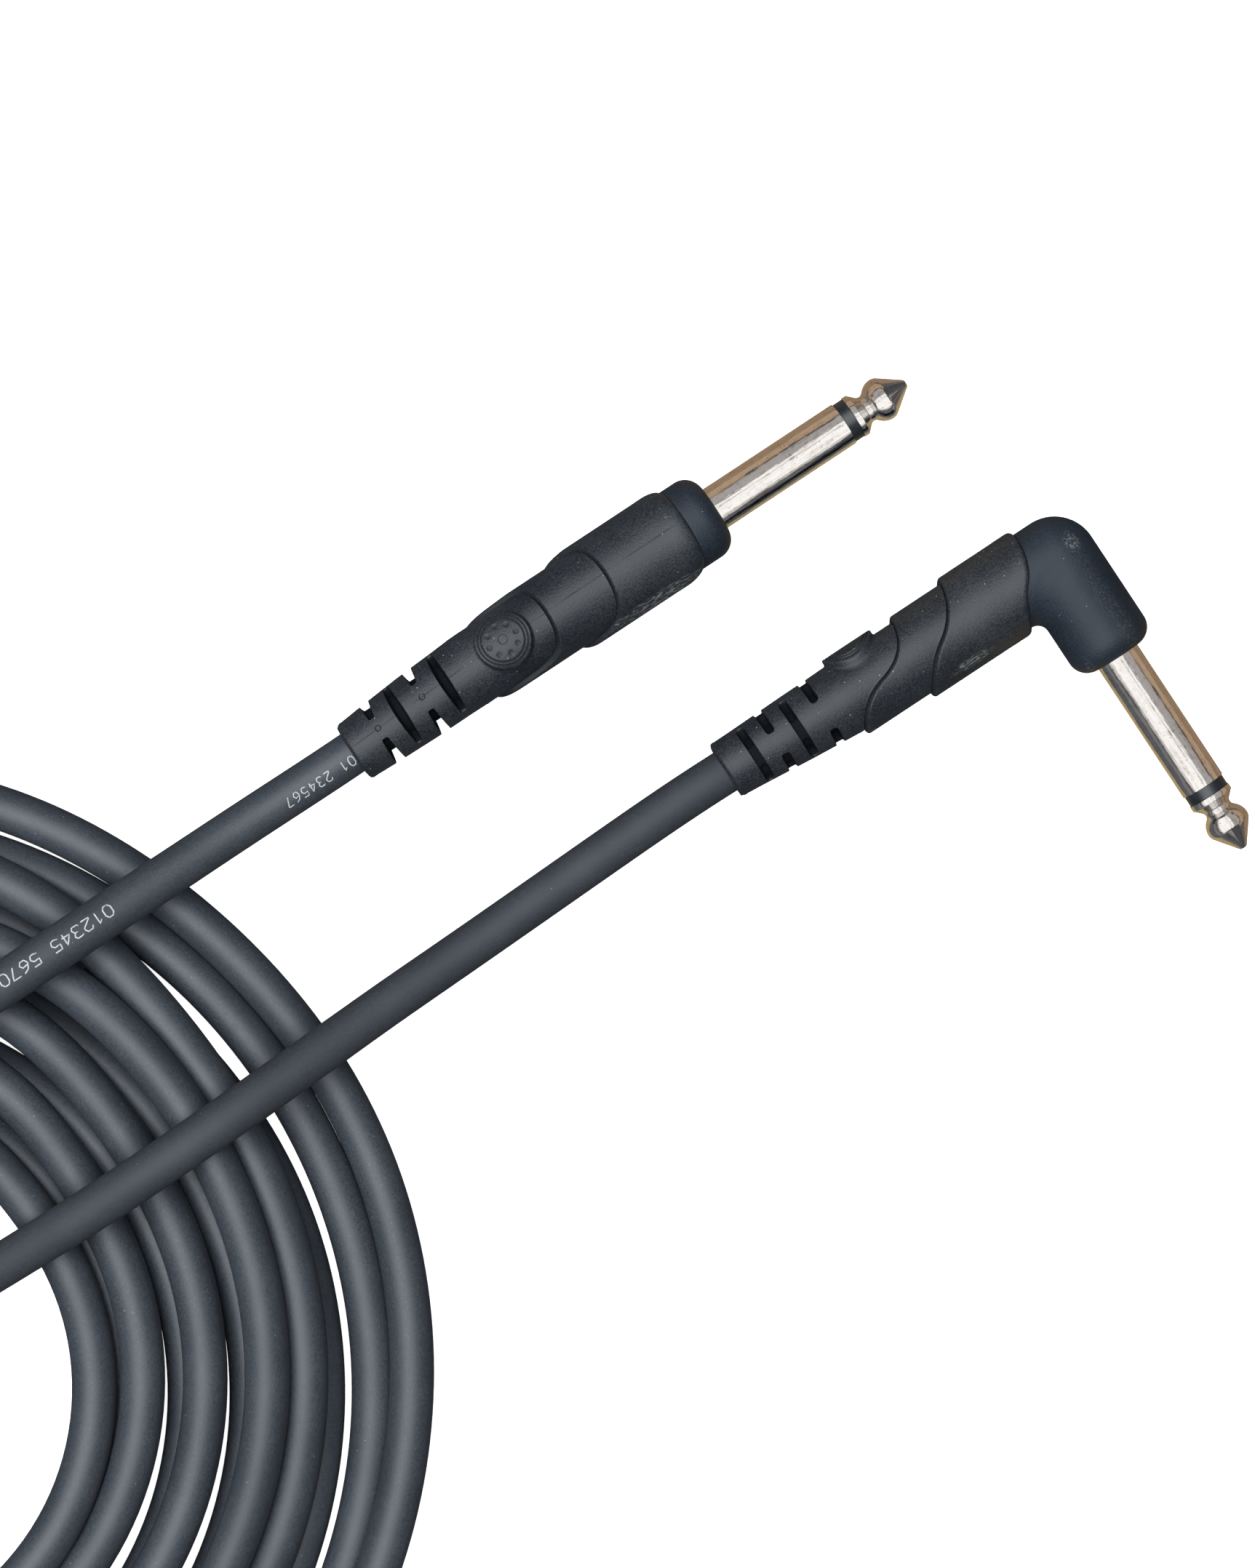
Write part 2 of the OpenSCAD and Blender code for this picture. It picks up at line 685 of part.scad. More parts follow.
module straight_collar() {
    place_straight() color(black_colour) difference() {
        union() {
            intersection() {
                turned() rim_outline(straight_seam_back + over);
                rotate([straight_roll, 0, 0])
                    ahead_of(straight_seam_top, straight_seam_back, main_d / 2, mould_gap);
            }
            rod_x(core_d, straight_core_end, -rim_r);
        }
        pin_pocket(straight_tongue_end, straight_strap_end);
        translate([straight_jacket_x, 0, 0]) layers_pocket(-far);
        crimp(straight_strap_end, mould_gap);
        joint_beads(straight_joint_x, straight_jacket_x, mould_gap);
    }
}

module straight_grip() {
    place_straight() rotate([straight_roll, 0, 0]) difference() {
        grip(straight_len, straight_seam, [straight_step_b_top, straight_step_b_back],
            [straight_step_a_top, straight_step_a_back], straight_boss_x, straight_slot_x,
            straight_core_end, false);
        color(black_colour) pits(straight_slot_x);
    }
}

// ---------- angled plug ----------

angled_seam = [angled_seam_top, angled_seam_back];
angled_core_end = angled_jacket_x - core_cover;
angled_tongue_end = -angled_drop - tongue_past;
angled_strap_end = -angled_drop - ground_strap_w / 2;
angled_crimp_x = angled_jacket_x - crimp_back - crimp_len;
angled_mouth = -angled_len - angled_jacket_x;

module angled_tip() { place_angled_pin() pin_tip(); }
module angled_tip_insulator() { place_angled_pin() pin_tip_insulator(); }
module angled_sleeve() { place_angled_pin() pin_sleeve(); }
module angled_rear_washer() { place_angled_pin() pin_rear_washer(); }
module angled_tip_lug() { place_angled_pin() tip_lug(angled_tongue_end); }

// The part of the strap that turns towards the cord
module angled_strap_leg(grow) {
    block(angled_crimp_x - grow, ground_strap_w / 2 + grow, ground_strap_w + 2 * grow,
        strap_top - lug_t - grow, strap_top + grow);
}

module angled_ground_lug() {
    color(brass_colour) {
        place_angled_pin() {
            ground_ring();
            ground_strap(angled_strap_end, 0);
        }
        place_angled_body() {
            angled_strap_leg(0);
            crimp(angled_crimp_x, 0);
        }
    }
}

module angled_layers() {
    place_angled_body() translate([angled_jacket_x, 0, 0]) children();
}

module angled_jacket_end() { angled_layers() jacket_end(angled_mouth); }
module angled_shield_end() { angled_layers() shield_end(angled_mouth); }
module angled_screen_end() { angled_layers() screen_end(angled_mouth); }
module angled_core_insulation() { angled_layers() core_insulation(angled_mouth); }
module angled_conductor_end() { angled_layers() conductor_end(angled_mouth); }

module angled_solder_joints() {
    place_angled_body() solder_joints(0, angled_jacket_x);
}

module angled_elbow() {
    color(black_colour) difference() {
        union() {
            place_angled_body() {
                intersection() {
                    rod_x(collar_d, -angled_seam_back - over, 0);
                    rotate([-90 + angled_roll, 0, 0])
                        ahead_of(angled_seam_top, angled_seam_back, main_d / 2, mould_gap);
                }
                rod_x(core_d, angled_core_end, 0);
                sphere(d = collar_d);
            }
            place_angled_pin() turned() rim_outline(angled_drop);
        }
        place_angled_pin() pin_pocket(angled_tongue_end, angled_strap_end);
        place_angled_body() {
            translate([angled_jacket_x, 0, 0]) layers_pocket(-far);
            angled_strap_leg(mould_gap);
            crimp(angled_crimp_x, mould_gap);
            joint_beads(0, angled_jacket_x, mould_gap);
        }
    }
}

module angled_grip() {
    place_angled_body() rotate([-90 + angled_roll, 0, 0])
        grip(angled_len, angled_seam, [angled_step_b_top, angled_step_b_back],
            [angled_step_a_top, angled_step_a_back], angled_boss_x, angled_slot_x,
            angled_core_end, true);
}

// ---------- cord ----------

function unit(v) = v / norm(v);

// Direction of the route at one of its points
function heading(p, i) = i == 0 ? [-1, 0, 0] : unit(p[min(i + 1, len(p) - 1)] - p[i - 1]);

// Ring of points round the route at one of its points
function ring(p, i, r) = let (
    t = heading(p, i),
    side = unit(cross(t, [0, 0, 1])),
    up = cross(side, t)
) [for (k = [0:route_sides - 1]) let (a = (k + 0.5) * 360 / route_sides)
    p[i] + r * cos(a) * side + r * sin(a) * up];

module swept(p) {
    n = route_sides;
    last = len(p) - 1;
    points = [for (i = [0:last]) each ring(p, i, cord_d / 2)];
    walls = [for (i = [0:last - 1], k = [0:n - 1]) let (a = i * n + k, b = i * n + (k + 1) % n)
        each [[a, b, a + n], [b, b + n, a + n]]];
    ends = [[for (k = [n - 1:-1:0]) k], [for (k = [0:n - 1]) last * n + k]];
    polyhedron(points, concat(walls, ends));
}

module straight_lead() { color(cord_colour) swept(straight_route); }
module angled_lead() { color(cord_colour) swept(angled_route); }

module cable_coil() {
    color(cord_colour) translate([coil_x, coil_y, 0]) rotate_extrude() {
        for (lane = coil_lanes)
            translate(lane) circle(d = cord_d);
        polygon([for (lane = coil_lanes) if (lane[1] <= lane_low) lane,
            for (i = [len(coil_lanes) - 1:-1:0])
                if (coil_lanes[i][1] > lane_low) coil_lanes[i]]);
    }
}

straight_tip();
straight_tip_insulator();
straight_sleeve();
straight_ground_lug();
straight_rear_washer();
straight_tip_lug();
straight_solder_joints();
straight_collar();
straight_grip();
straight_jacket_end();
straight_shield_end();
straight_screen_end();
straight_core_insulation();
straight_conductor_end();
angled_tip();
angled_tip_insulator();
angled_sleeve();
angled_ground_lug();
angled_rear_washer();
angled_tip_lug();
angled_solder_joints();
angled_elbow();
angled_grip();
angled_jacket_end();
angled_shield_end();
angled_screen_end();
angled_core_insulation();
angled_conductor_end();
straight_lead();
angled_lead();
cable_coil();
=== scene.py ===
"""Instrument cable: the looks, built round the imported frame. Lengths in here are in millimetres."""
import json
import math

import bmesh
import bpy
import numpy as np
from mathutils import Matrix, Vector

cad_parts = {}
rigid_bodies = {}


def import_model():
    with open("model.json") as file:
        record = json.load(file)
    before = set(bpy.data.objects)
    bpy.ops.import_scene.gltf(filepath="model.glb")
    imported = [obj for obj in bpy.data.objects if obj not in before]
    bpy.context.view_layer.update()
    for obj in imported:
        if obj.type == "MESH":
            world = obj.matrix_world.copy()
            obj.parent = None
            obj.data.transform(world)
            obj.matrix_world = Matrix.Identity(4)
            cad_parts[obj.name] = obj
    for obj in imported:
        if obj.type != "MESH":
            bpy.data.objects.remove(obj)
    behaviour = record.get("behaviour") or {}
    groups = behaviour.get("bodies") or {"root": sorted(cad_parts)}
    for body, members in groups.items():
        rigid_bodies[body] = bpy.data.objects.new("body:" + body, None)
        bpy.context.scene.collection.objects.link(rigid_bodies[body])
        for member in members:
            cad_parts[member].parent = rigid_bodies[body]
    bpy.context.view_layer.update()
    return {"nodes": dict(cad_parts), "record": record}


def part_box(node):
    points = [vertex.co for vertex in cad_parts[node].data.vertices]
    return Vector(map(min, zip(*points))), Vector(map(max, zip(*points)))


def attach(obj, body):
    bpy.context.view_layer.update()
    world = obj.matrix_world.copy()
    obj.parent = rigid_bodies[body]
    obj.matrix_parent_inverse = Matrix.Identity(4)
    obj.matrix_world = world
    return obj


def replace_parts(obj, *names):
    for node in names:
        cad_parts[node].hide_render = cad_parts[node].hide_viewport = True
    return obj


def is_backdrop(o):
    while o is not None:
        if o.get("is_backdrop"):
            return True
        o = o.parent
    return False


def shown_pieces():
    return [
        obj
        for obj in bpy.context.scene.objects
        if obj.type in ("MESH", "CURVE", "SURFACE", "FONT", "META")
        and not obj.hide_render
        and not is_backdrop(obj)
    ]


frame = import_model()

MM = 0.001
TAU = 2 * math.pi
scene = bpy.context.scene


def lo(node):
    return np.array(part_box(node)[0]) / MM


def hi(node):
    return np.array(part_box(node)[1]) / MM


def middle(node):
    return (lo(node) + hi(node)) / 2


# ---------- places, from the frame ----------
AXIS_Z = middle("straight_sleeve")[2]
STRAIGHT_Y = middle("straight_sleeve")[1]
FACE_X = hi("straight_collar")[0]
STRAIGHT_MOUTH = lo("straight_grip")[0]
ELBOW_X = middle("angled_sleeve")[0]
ANGLED_Y = middle("angled_jacket_end")[1]
ANGLED_MOUTH = lo("angled_grip")[0]
LEG_FACE = ANGLED_Y - lo("angled_elbow")[1]
# How far each boss is turned from straight up about its plug's axis.
STRAIGHT_ROLL = math.radians(-7)
ANGLED_ROLL = math.radians(-84)

# ---------- camera: straight down, turned in its own plane ----------
CAMERA = np.array([-21.96, 11.2, 520.85])
CAMERA_TURN = -33.4
cam = bpy.data.objects.new("camera", bpy.data.cameras.new("camera"))
scene.collection.objects.link(cam)
scene.camera = cam
cam.location = CAMERA * MM
cam.rotation_euler = (0, 0, math.radians(CAMERA_TURN))
cam.data.lens = 85
cam.data.sensor_width = 36
cam.data.clip_start = 0.02
cam.data.clip_end = 20

# ---------- the cord's line ----------
CORD_R = 3.1
CORD_D = 2 * CORD_R
# Where the leads run between their plugs and the coil.
STRAIGHT_ROUTE = [
    (-58, 35.78, 6.9), (-66, 35.82, 7.8), (-74, 35.72, 9.8), (-82, 35.55, 12.6), (-90, 35.4, 15.6),
    (-98, 35.2, 18.2), (-106, 35.1, 19.6), (-114, 35.1, 19.5), (-124, 35.4, 18.3),
    (-136, 36.0, 16.2), (-149, 36.4, 13.2), (-162, 36.5, 10.6), (-176, 35.0, 8.9),
    (-188, 30.0, 8.0),
]
ANGLED_ROUTE = [
    (-18, 5.28, 6.7), (-30, 4.98, 6.0), (-44, 4.58, 5.4), (-56, 4.29, 6.4), (-66, 4.14, 9.0),
    (-75, 3.84, 12.6), (-84, 3.5, 16.4), (-92, 3.3, 19.2), (-100, 3.1, 20.2), (-108, 3.0, 19.4),
    (-117, 3.0, 17.0), (-127, 3.2, 13.6), (-138, 3.5, 9.8), (-149, 4.2, 6.4), (-160, 6.2, 4.2),
    (-169, 11.2, 3.3), (-174, 19.2, 3.1), (-174, 28.4, 3.1), (-169, 36.2, 3.1),
    (-160, 41.2, 3.1), (-149, 42.6, 3.1),
]
# The coil is laid clockwise, first outwards on the floor and then inwards on top. Each pair is
# (degrees laid, radius), as they look from the camera.
COIL_MIDDLE = (-162, 4.0)
COIL_START = 71.4
TURNS = [
    (0, 40.7), (35, 42.6), (60, 42.8), (85, 43.2),
    (390, 50.9), (420, 51.3), (445, 51.9),
    (750, 59.5), (780, 59.9), (805, 60.4),
    (1115, 69.0), (1143, 69.2), (1165, 70.4),
    (1475, 77.5), (1515, 77.3), (1775, 82.3),
    (1832, 84.3), (1852, 83.2), (1860, 83.2), (1885, 83.7),
    (2195, 75.2), (2200, 74.2), (2208, 71.9), (2213, 70.7), (2220, 69.7), (2227, 69.0),
    (2240, 68.7),
    (2565, 65.9), (2580, 64.7), (2595, 63.6),
    (2924, 58.3), (2940, 55.5), (2949, 54.8), (3120, 53.6),
    (3288, 49.3), (3300, 47.0), (3306, 46.2), (3480, 44.9),
    (3652, 40.1), (3660, 38.6), (3780, 40.3), (3896, 36.8),
]
LAID_STEP = 3.0  # degrees between the coil's points
TURN_SOFT = 7.0  # degrees over which the radius is smoothed
BED_ROUNDS = 10
BEFORE = 60  # points by which a turn has to be older, for the cord to rest on it
BED_SLOPE = 0.16  # how steeply the cord climbs on and off what it rests on
BED_SOFT = 6.0
LEAVE_Z, LEAVE_SLOPE = 8.0, 0.10  # the last stretch rises towards the straight plug's lead
FINE_STEP, LINE_SOFT, LINE_STEP = 0.5, 4.5, 1.9
END_RUN = 12.0  # how far the line runs into each plug, before it is cut
CORD_INSIDE = 1.5  # how far the shown cord reaches into each mouth


def blurred(values, step, sigma):
    """Smooths rows of values that lie a step apart; both ends carry on in line."""
    reach = int(4 * sigma / step)
    k = np.exp(-0.5 * (np.arange(-reach, reach + 1) * step / sigma) ** 2)
    k /= k.sum()
    v = np.asarray(values, float).reshape(len(values), -1)
    head = 2 * v[0] - v[reach:0:-1]
    tail = 2 * v[-1] - v[-2:-reach - 2:-1]
    v = np.vstack([head, v, tail])
    out = np.stack([np.convolve(v[:, i], k, "valid") for i in range(v.shape[1])], 1)
    return out.reshape(np.shape(values))


def run_of(points):
    return np.concatenate([[0], np.cumsum(np.linalg.norm(np.diff(points, axis=0), axis=1))])


def resampled(points, step):
    s = run_of(points)
    at = np.linspace(0, s[-1], int(round(s[-1] / step)) + 1)
    return np.stack([np.interp(at, s, points[:, i]) for i in range(3)], 1)


def coil_points():
    """The coil's turns, each resting on what was laid before it."""
    laid = np.arange(0, TURNS[-1][0] + 0.5, LAID_STEP)
    r = blurred(np.interp(laid, *zip(*TURNS)), LAID_STEP, TURN_SOFT)
    a = np.radians(COIL_START - laid)
    seen = np.stack([COIL_MIDDLE[0] + r * np.cos(a), COIL_MIDDLE[1] + r * np.sin(a)], 1)
    s = np.cumsum(r) * math.radians(LAID_STEP)
    apart = np.abs(s[:, None] - s[None, :])
    slope = BED_SLOPE * apart
    soft = np.exp(-0.5 * (apart / BED_SOFT) ** 2)
    soft /= soft.sum(1, keepdims=True)
    earlier = np.arange(len(s))[:, None] - np.arange(len(s))[None, :] > BEFORE
    z = np.full(len(s), CORD_R)
    leave = LEAVE_Z - LEAVE_SLOPE * (s[-1] - s)
    for _ in range(BED_ROUNDS):
        # A turn's place is as seen at the pins' height: a lower one lies further out.
        scale = (CAMERA[2] - z) / (CAMERA[2] - AXIS_Z)
        xy = CAMERA[:2] + (seen - CAMERA[:2]) * scale[:, None]
        gap = np.linalg.norm(xy[:, None] - xy[None, :], axis=2)
        over = np.sqrt(np.maximum(CORD_D ** 2 - gap ** 2, 0))
        need = np.where(earlier & (gap < CORD_D), z[None, :] + over, CORD_R).max(1)
        need = np.maximum(need, leave)
        bed = (need[None, :] - slope).max(1)
        z = soft @ bed
        for _ in range(2):
            short = np.maximum(need - z, 0)
            z = z + soft @ (short[None, :] - 0.5 * slope).clip(0).max(1)
        z = np.maximum(z, CORD_R)
    return np.column_stack([xy, z])


# Each bend relief leans a little towards the other plug: where that starts in X, and its slope.
STRAIGHT_LEAN = (-30.0, -0.034)
ANGLED_LEAN = (10.0, 0.040)


def leaned(x, start, slope):
    """How far a bend relief has leaned at a place along X."""
    run = np.maximum(start - x, 0)
    return slope * run ** 2 / (run + 2.0)


def cord_line():
    """The cord's middle, from the right-angle plug's mouth to the straight plug's."""
    ends = []
    for mouth, y, lean in ((ANGLED_MOUTH, ANGLED_Y, ANGLED_LEAN),
                           (STRAIGHT_MOUTH, STRAIGHT_Y, STRAIGHT_LEAN)):
        run_in = mouth + np.array([END_RUN, 6, 3, 0])
        ends.append([(x, y + leaned(x, *lean), AXIS_Z) for x in run_in])
    points = np.array(ends[0] + ANGLED_ROUTE + coil_points()[2:-2].tolist()
                      + STRAIGHT_ROUTE[::-1] + ends[1][::-1])
    line = blurred(resampled(points, FINE_STEP), FINE_STEP, LINE_SOFT)
    s = run_of(line)
    cut = END_RUN - CORD_INSIDE
    keep = (s >= cut) & (s <= s[-1] - cut)
    line = resampled(line[keep], LINE_STEP)
    line[:, 2] = np.maximum(line[:, 2], CORD_R)
    return line


# ---------- mesh making ----------
def build(name, verts, faces, mats, sharp=38, merge=0.0, marks=None, deep=None):
    """Makes a piece from points in millimetres and lets it ride on the only body.

    marks holds values for the points, by name, and deep each face's place in mats."""
    me = bpy.data.meshes.new(name)
    me.from_pydata((np.asarray(verts) * MM).tolist(), [], faces)
    for key, values in (marks or {}).items():
        values = np.asarray(values, float)
        kind, field = ("FLOAT", "value") if values.ndim == 1 else ("FLOAT_VECTOR", "vector")
        me.attributes.new(key, kind, "POINT").data.foreach_set(field, values.ravel())
    bm = bmesh.new()
    bm.from_mesh(me)
    if merge:
        bmesh.ops.remove_doubles(bm, verts=bm.verts, dist=merge * MM)
    bmesh.ops.recalc_face_normals(bm, faces=bm.faces)
    bm.to_mesh(me)
    bm.free()
    me.shade_smooth()
    if sharp:
        me.set_sharp_from_angle(angle=math.radians(sharp))
    for m in mats:
        me.materials.append(m)
    if deep is not None:
        me.polygons.foreach_set("material_index", np.asarray(deep, int))
    o = bpy.data.objects.new(name, me)
    scene.collection.objects.link(o)
    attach(o, "root")
    return o


def grid_faces(rows, cols, closed_rows=False, first=0):
    """Faces between rings of points; the last ring joins the first where rows are closed."""
    faces = []
    for r in range(rows if closed_rows else rows - 1):
        r2 = (r + 1) % rows
        for c in range(cols):
            c2 = (c + 1) % cols
            faces.append((first + r * cols + c, first + r * cols + c2,
                          first + r2 * cols + c2, first + r2 * cols + c))
    return faces


def turned(points, roll):
    """Turns points about the X axis."""
    p = np.array(points, float)
    y, z = p[..., 1].copy(), p[..., 2].copy()
    p[..., 1] = y * math.cos(roll) - z * math.sin(roll)
    p[..., 2] = y * math.sin(roll) + z * math.cos(roll)
    return p


def bulge(t, power=2.2):
    """Quarter of a rounded square: 0 at 0, upright there, 1 and level from 1."""
    t = np.clip(t, 0, 1)
    return (1 - (1 - t) ** power) ** (1 / power)


def wavy(theta, top, back, hard):
    """Where a wavy line lies along the grip, at the turn theta from the boss."""
    u = np.cos(theta)
    f = 0.5 + 0.5 * u / (hard + (1 - hard) * np.abs(u))
    return -back + (back - top) * f


# ---------- grips ----------
# A grip is a skin of rings. Rows across a step are measured from its foot, rows across a slot
# from its middle, and rows at the front from the seam.
STEP_ROWS = [-0.45, -0.32, -0.22, -0.18, -0.13, -0.08, -0.03, 0.0, 0.006, 0.02, 0.045, 0.08,
             0.12, 0.17, 0.23, 0.3, 0.38, 0.47, 0.6]
STEP_ROUND = 0.47  # run over which a step rises
STEP_FOOT = 0.02
SWELL_RISE, SWELL_RUN = 0.08, 0.45  # the skin swells a little towards a step
FOOT_CUT, FOOT_AT, FOOT_HALF = 0.34, 0.08, 0.14  # the groove at its foot, ahead of it
WAVE_R = 6.0  # the radius at which a wavy line's slope is taken
SLOT_ROWS = np.array([0, .14, .28, .38, .43, .48, .53, .58, .63, .68, .73, .78, .85, .95, 1.08])
SLOT_FLOOR = 3.3  # radius of the slots' floors
SLOT_HALF_ANGLE = math.radians(67)
RIB_HALF, RIB_CUT, RIB_EDGE = 1.45, 0.4, 0.12  # a rib's half width, the cut over it and its edge
SEAM_ROWS = [2.6, 2.1, 1.75, 1.4, 1.1, 0.8, 0.55, 0.35, 0.2, 0.1, 0.04, 0.0]
STEP_A_HARD, STEP_B_HARD, SEAM_HARD = 0.3, 0.5, 0.45  # 1 is a plain wave, less is squarer
MOUTH_ROUND = 0.7
TAPER_AHEAD = 3.0  # the taper ends this far ahead of the first slot
INNER_R = 6.1  # the inner moulding's radius where it shows
FRONT_FOOT, FRONT_LIP = 6.12, 6.02  # radii at the grip's front, over the inner moulding
CORE_R = 4.6
BORE_R = 3.12
STRAIGHT_BORE = 3.0  # the bore only leans this close to the mouth
PARTING_CUT, PARTING_HALF = 0.035, 0.13
PIT_SLOTS, PIT_CUT, PIT_R, PIT_EDGE = (1, 3), 0.16, 0.47, 0.1
PIT_SKIN_R = 4.7  # about the skin's radius at the pits
LEAN_FROM, LEAN_OVER = 3.35, 0.8  # the skin leans from this radius on, and fully after this
DEEP_CUT = 0.2  # faces cut deeper than this are in the shade
# How dark the painted shade is: along a step, along the parting line, and in a slot of some depth.
STEP_PAINTED_SHADE, STEP_DARK_AT, STEP_DARK_HALF = 0.55, 0.03, 0.22
PARTING_PAINTED_SHADE, PARTING_DARK_HALF = 0.45, 0.16
SLOT_DARK_CUT = 0.5


def grip_turns():
    """Turns round a grip, closer together along both parting lines."""
    count = 320
    even = np.arange(0, count) * TAU / count
    near = np.radians([0.35, 0.7, 1.6])
    fine = np.concatenate([near, -near, math.pi + near, math.pi - near]) % TAU
    return np.unique(np.concatenate([even, fine]).round(6))


def box_inside(dx, dy, half_x, half_y, corner):
    """Depth inside a rectangle with round corners, below zero outside it."""
    qx, qy = np.abs(dx) - half_x + corner, np.abs(dy) - half_y + corner
    out = np.hypot(np.maximum(qx, 0), np.maximum(qy, 0)) + np.minimum(np.maximum(qx, qy), 0)
    return corner - out


def slot_depth(x, theta, r, g):
    """How deep the relief's slots cut at a place, in millimetres."""
    cut = np.zeros_like(r)
    full = r - SLOT_FLOOR
    half = SLOT_HALF_ANGLE * (g["zone_r"] + g["mouth_r"]) / 2
    wall = g["slot_half"] - g["slot_floor_half"]
    for i, slot_x in enumerate(g["slots"]):
        dx = x + slot_x
        turn = (theta - (i % 2) * math.pi / 2 + math.pi / 2) % math.pi - math.pi / 2
        arc = turn * r
        dx = dx / (1 - g["slot_pinch"] * np.clip(np.abs(arc) / half, 0, 1) ** 2)
        inside = box_inside(dx, arc, g["slot_half"], half, g["slot_end"])
        if g["ribbed"]:
            reach = (half - RIB_HALF) / 2
            pocket = box_inside(dx, np.abs(arc) - RIB_HALF - reach, g["slot_half"], reach,
                                g["slot_end"])
            deep = full * np.clip(pocket / wall, 0, 1)
            shallow = RIB_CUT * np.clip(inside / RIB_EDGE, 0, 1)
            cut = np.maximum(cut, np.maximum(deep, shallow))
        else:
            cut = np.maximum(cut, full * np.clip(inside / wall, 0, 1))
    return cut


def grip(name, origin, roll, g, mats):
    """An outer moulding, from the cord's mouth to the seam, with its bore and its boss."""
    theta = grip_turns()
    cols = len(theta)
    same = np.ones(cols)
    xs, rs = [], []

    def row(x, r):
        xs.append(x * same)
        rs.append(r * same)

    length, corner = g["length"], MOUTH_ROUND
    for t in np.linspace(0, math.pi / 2, 8):
        row(-length + corner - corner * math.cos(t), g["mouth_r"] - corner + corner * math.sin(t))
    taper_from, taper_to = -length + corner, -g["slots"][0] + TAPER_AHEAD
    offsets = np.concatenate([-SLOT_ROWS[:0:-1], SLOT_ROWS])
    stations = [-x for x in g["slots"][::-1]]
    flat = [taper_from + 0.25, taper_from + 0.6]
    for x in stations:
        flat += (x + offsets).tolist()
    flat += [(x0 + x1) / 2 + d for x0, x1 in zip(stations, stations[1:]) for d in (-0.5, 0, 0.5)]
    flat += np.linspace(stations[3] + 1.3, taper_to, 4).tolist()
    for x in sorted(f for f in flat if f > taper_from + 0.1):
        row(x, np.interp(x + length, *zip(*g["taper"])))

    lines = {}
    for key, hard in (("step_a", STEP_A_HARD), ("step_b", STEP_B_HARD), ("seam", SEAM_HARD)):
        at = wavy(theta, *g[key], hard)
        ahead = np.roll(at, -1) - np.roll(at, 1)
        run = (np.roll(theta, -1) - np.roll(theta, 1)) % TAU * WAVE_R
        lines[key] = (at, np.sqrt(1 + (ahead / run) ** 2))

    def between(x0, x1, n, r):
        for t in np.linspace(0, 1, n + 2)[1:-1]:
            row(x0 + (x1 - x0) * t, r)

    # Painted shade at each step's foot, by row.
    shade = {}

    def step(key, low, high):
        at, wide = lines[key]
        for q in STEP_ROWS:
            swell = SWELL_RISE * max(0, 1 + q / SWELL_RUN) ** 2
            groove = FOOT_CUT * max(0, 1 - abs(q + FOOT_AT) / FOOT_HALF)
            rise = STEP_FOOT + (high - low - STEP_FOOT) * float(bulge(q / STEP_ROUND))
            shade[len(xs)] = STEP_PAINTED_SHADE * max(0, 1 - abs(q + STEP_DARK_AT) / STEP_DARK_HALF)
            row(at + q * wide, low + (swell - groove if q <= 0 else rise))

    a, wide_a = lines["step_a"]
    b, wide_b = lines["step_b"]
    c = lines["seam"][0]
    between(taper_to * same, a + STEP_ROWS[0] * wide_a, 16, g["zone_r"])
    step("step_a", g["zone_r"], g["mid_r"])
    between(a + STEP_ROWS[-1] * wide_a, b + STEP_ROWS[0] * wide_b, 16, g["mid_r"])
    step("step_b", g["mid_r"], g["main_r"])
    between(b + STEP_ROWS[-1] * wide_b, c - SEAM_ROWS[0], 14, g["main_r"])
    for q in SEAM_ROWS:
        row(c - q, FRONT_FOOT + (g["main_r"] - INNER_R) * float(bulge(q / g["front"])))
    outer = len(xs)
    row(c, FRONT_LIP)
    row(c, CORE_R + 0.02)
    row(g["core_end"], CORE_R + 0.02)
    row(g["core_end"], BORE_R)
    row(-length + STRAIGHT_BORE, BORE_R)
    row(-length, BORE_R)

    x, r = np.array(xs), np.array(rs)
    skin = r[:outer].copy()
    at, turn = x[:outer], theta[None, :] * np.ones((outer, 1))
    off = np.minimum(np.abs((turn + math.pi) % TAU - math.pi), np.abs(turn - math.pi)) * skin
    # The parting line comes and goes along the grip.
    faint = 0.55 + 0.45 * np.sin(at * 0.9) * np.sin(at * 0.37 + 1)
    skin -= PARTING_CUT * faint * np.clip(1 - off / PARTING_HALF, 0, 1)
    cut = slot_depth(at, turn, r[:outer], g)
    skin -= cut
    # Painted shade, in the slots, at each step's foot and along the parting line.
    hollow = np.zeros((len(xs), cols))
    hollow[:outer] = np.clip(cut / SLOT_DARK_CUT, 0, 1)
    for i, dark in shade.items():
        hollow[i] = np.maximum(hollow[i], dark)
    parting = PARTING_PAINTED_SHADE * faint * np.clip(1 - off / PARTING_DARK_HALF, 0, 1)
    hollow[:outer] = np.maximum(hollow[:outer], parting)
    if g["pits"]:
        for i in PIT_SLOTS:
            around = ((turn + math.pi) % TAU - math.pi) * PIT_SKIN_R
            far = np.hypot(at + g["slots"][i], around)
            skin -= PIT_CUT * np.clip((PIT_R - far) / PIT_EDGE, 0, 1)
    r[:outer] = skin
    p = np.stack([x, r * np.sin(theta), r * np.cos(theta)], 2)
    verts = p.reshape(-1, 3)
    faces = grid_faces(len(xs), cols, closed_rows=True)
    top, top_faces, top_painted_shade = boss(g, len(verts))
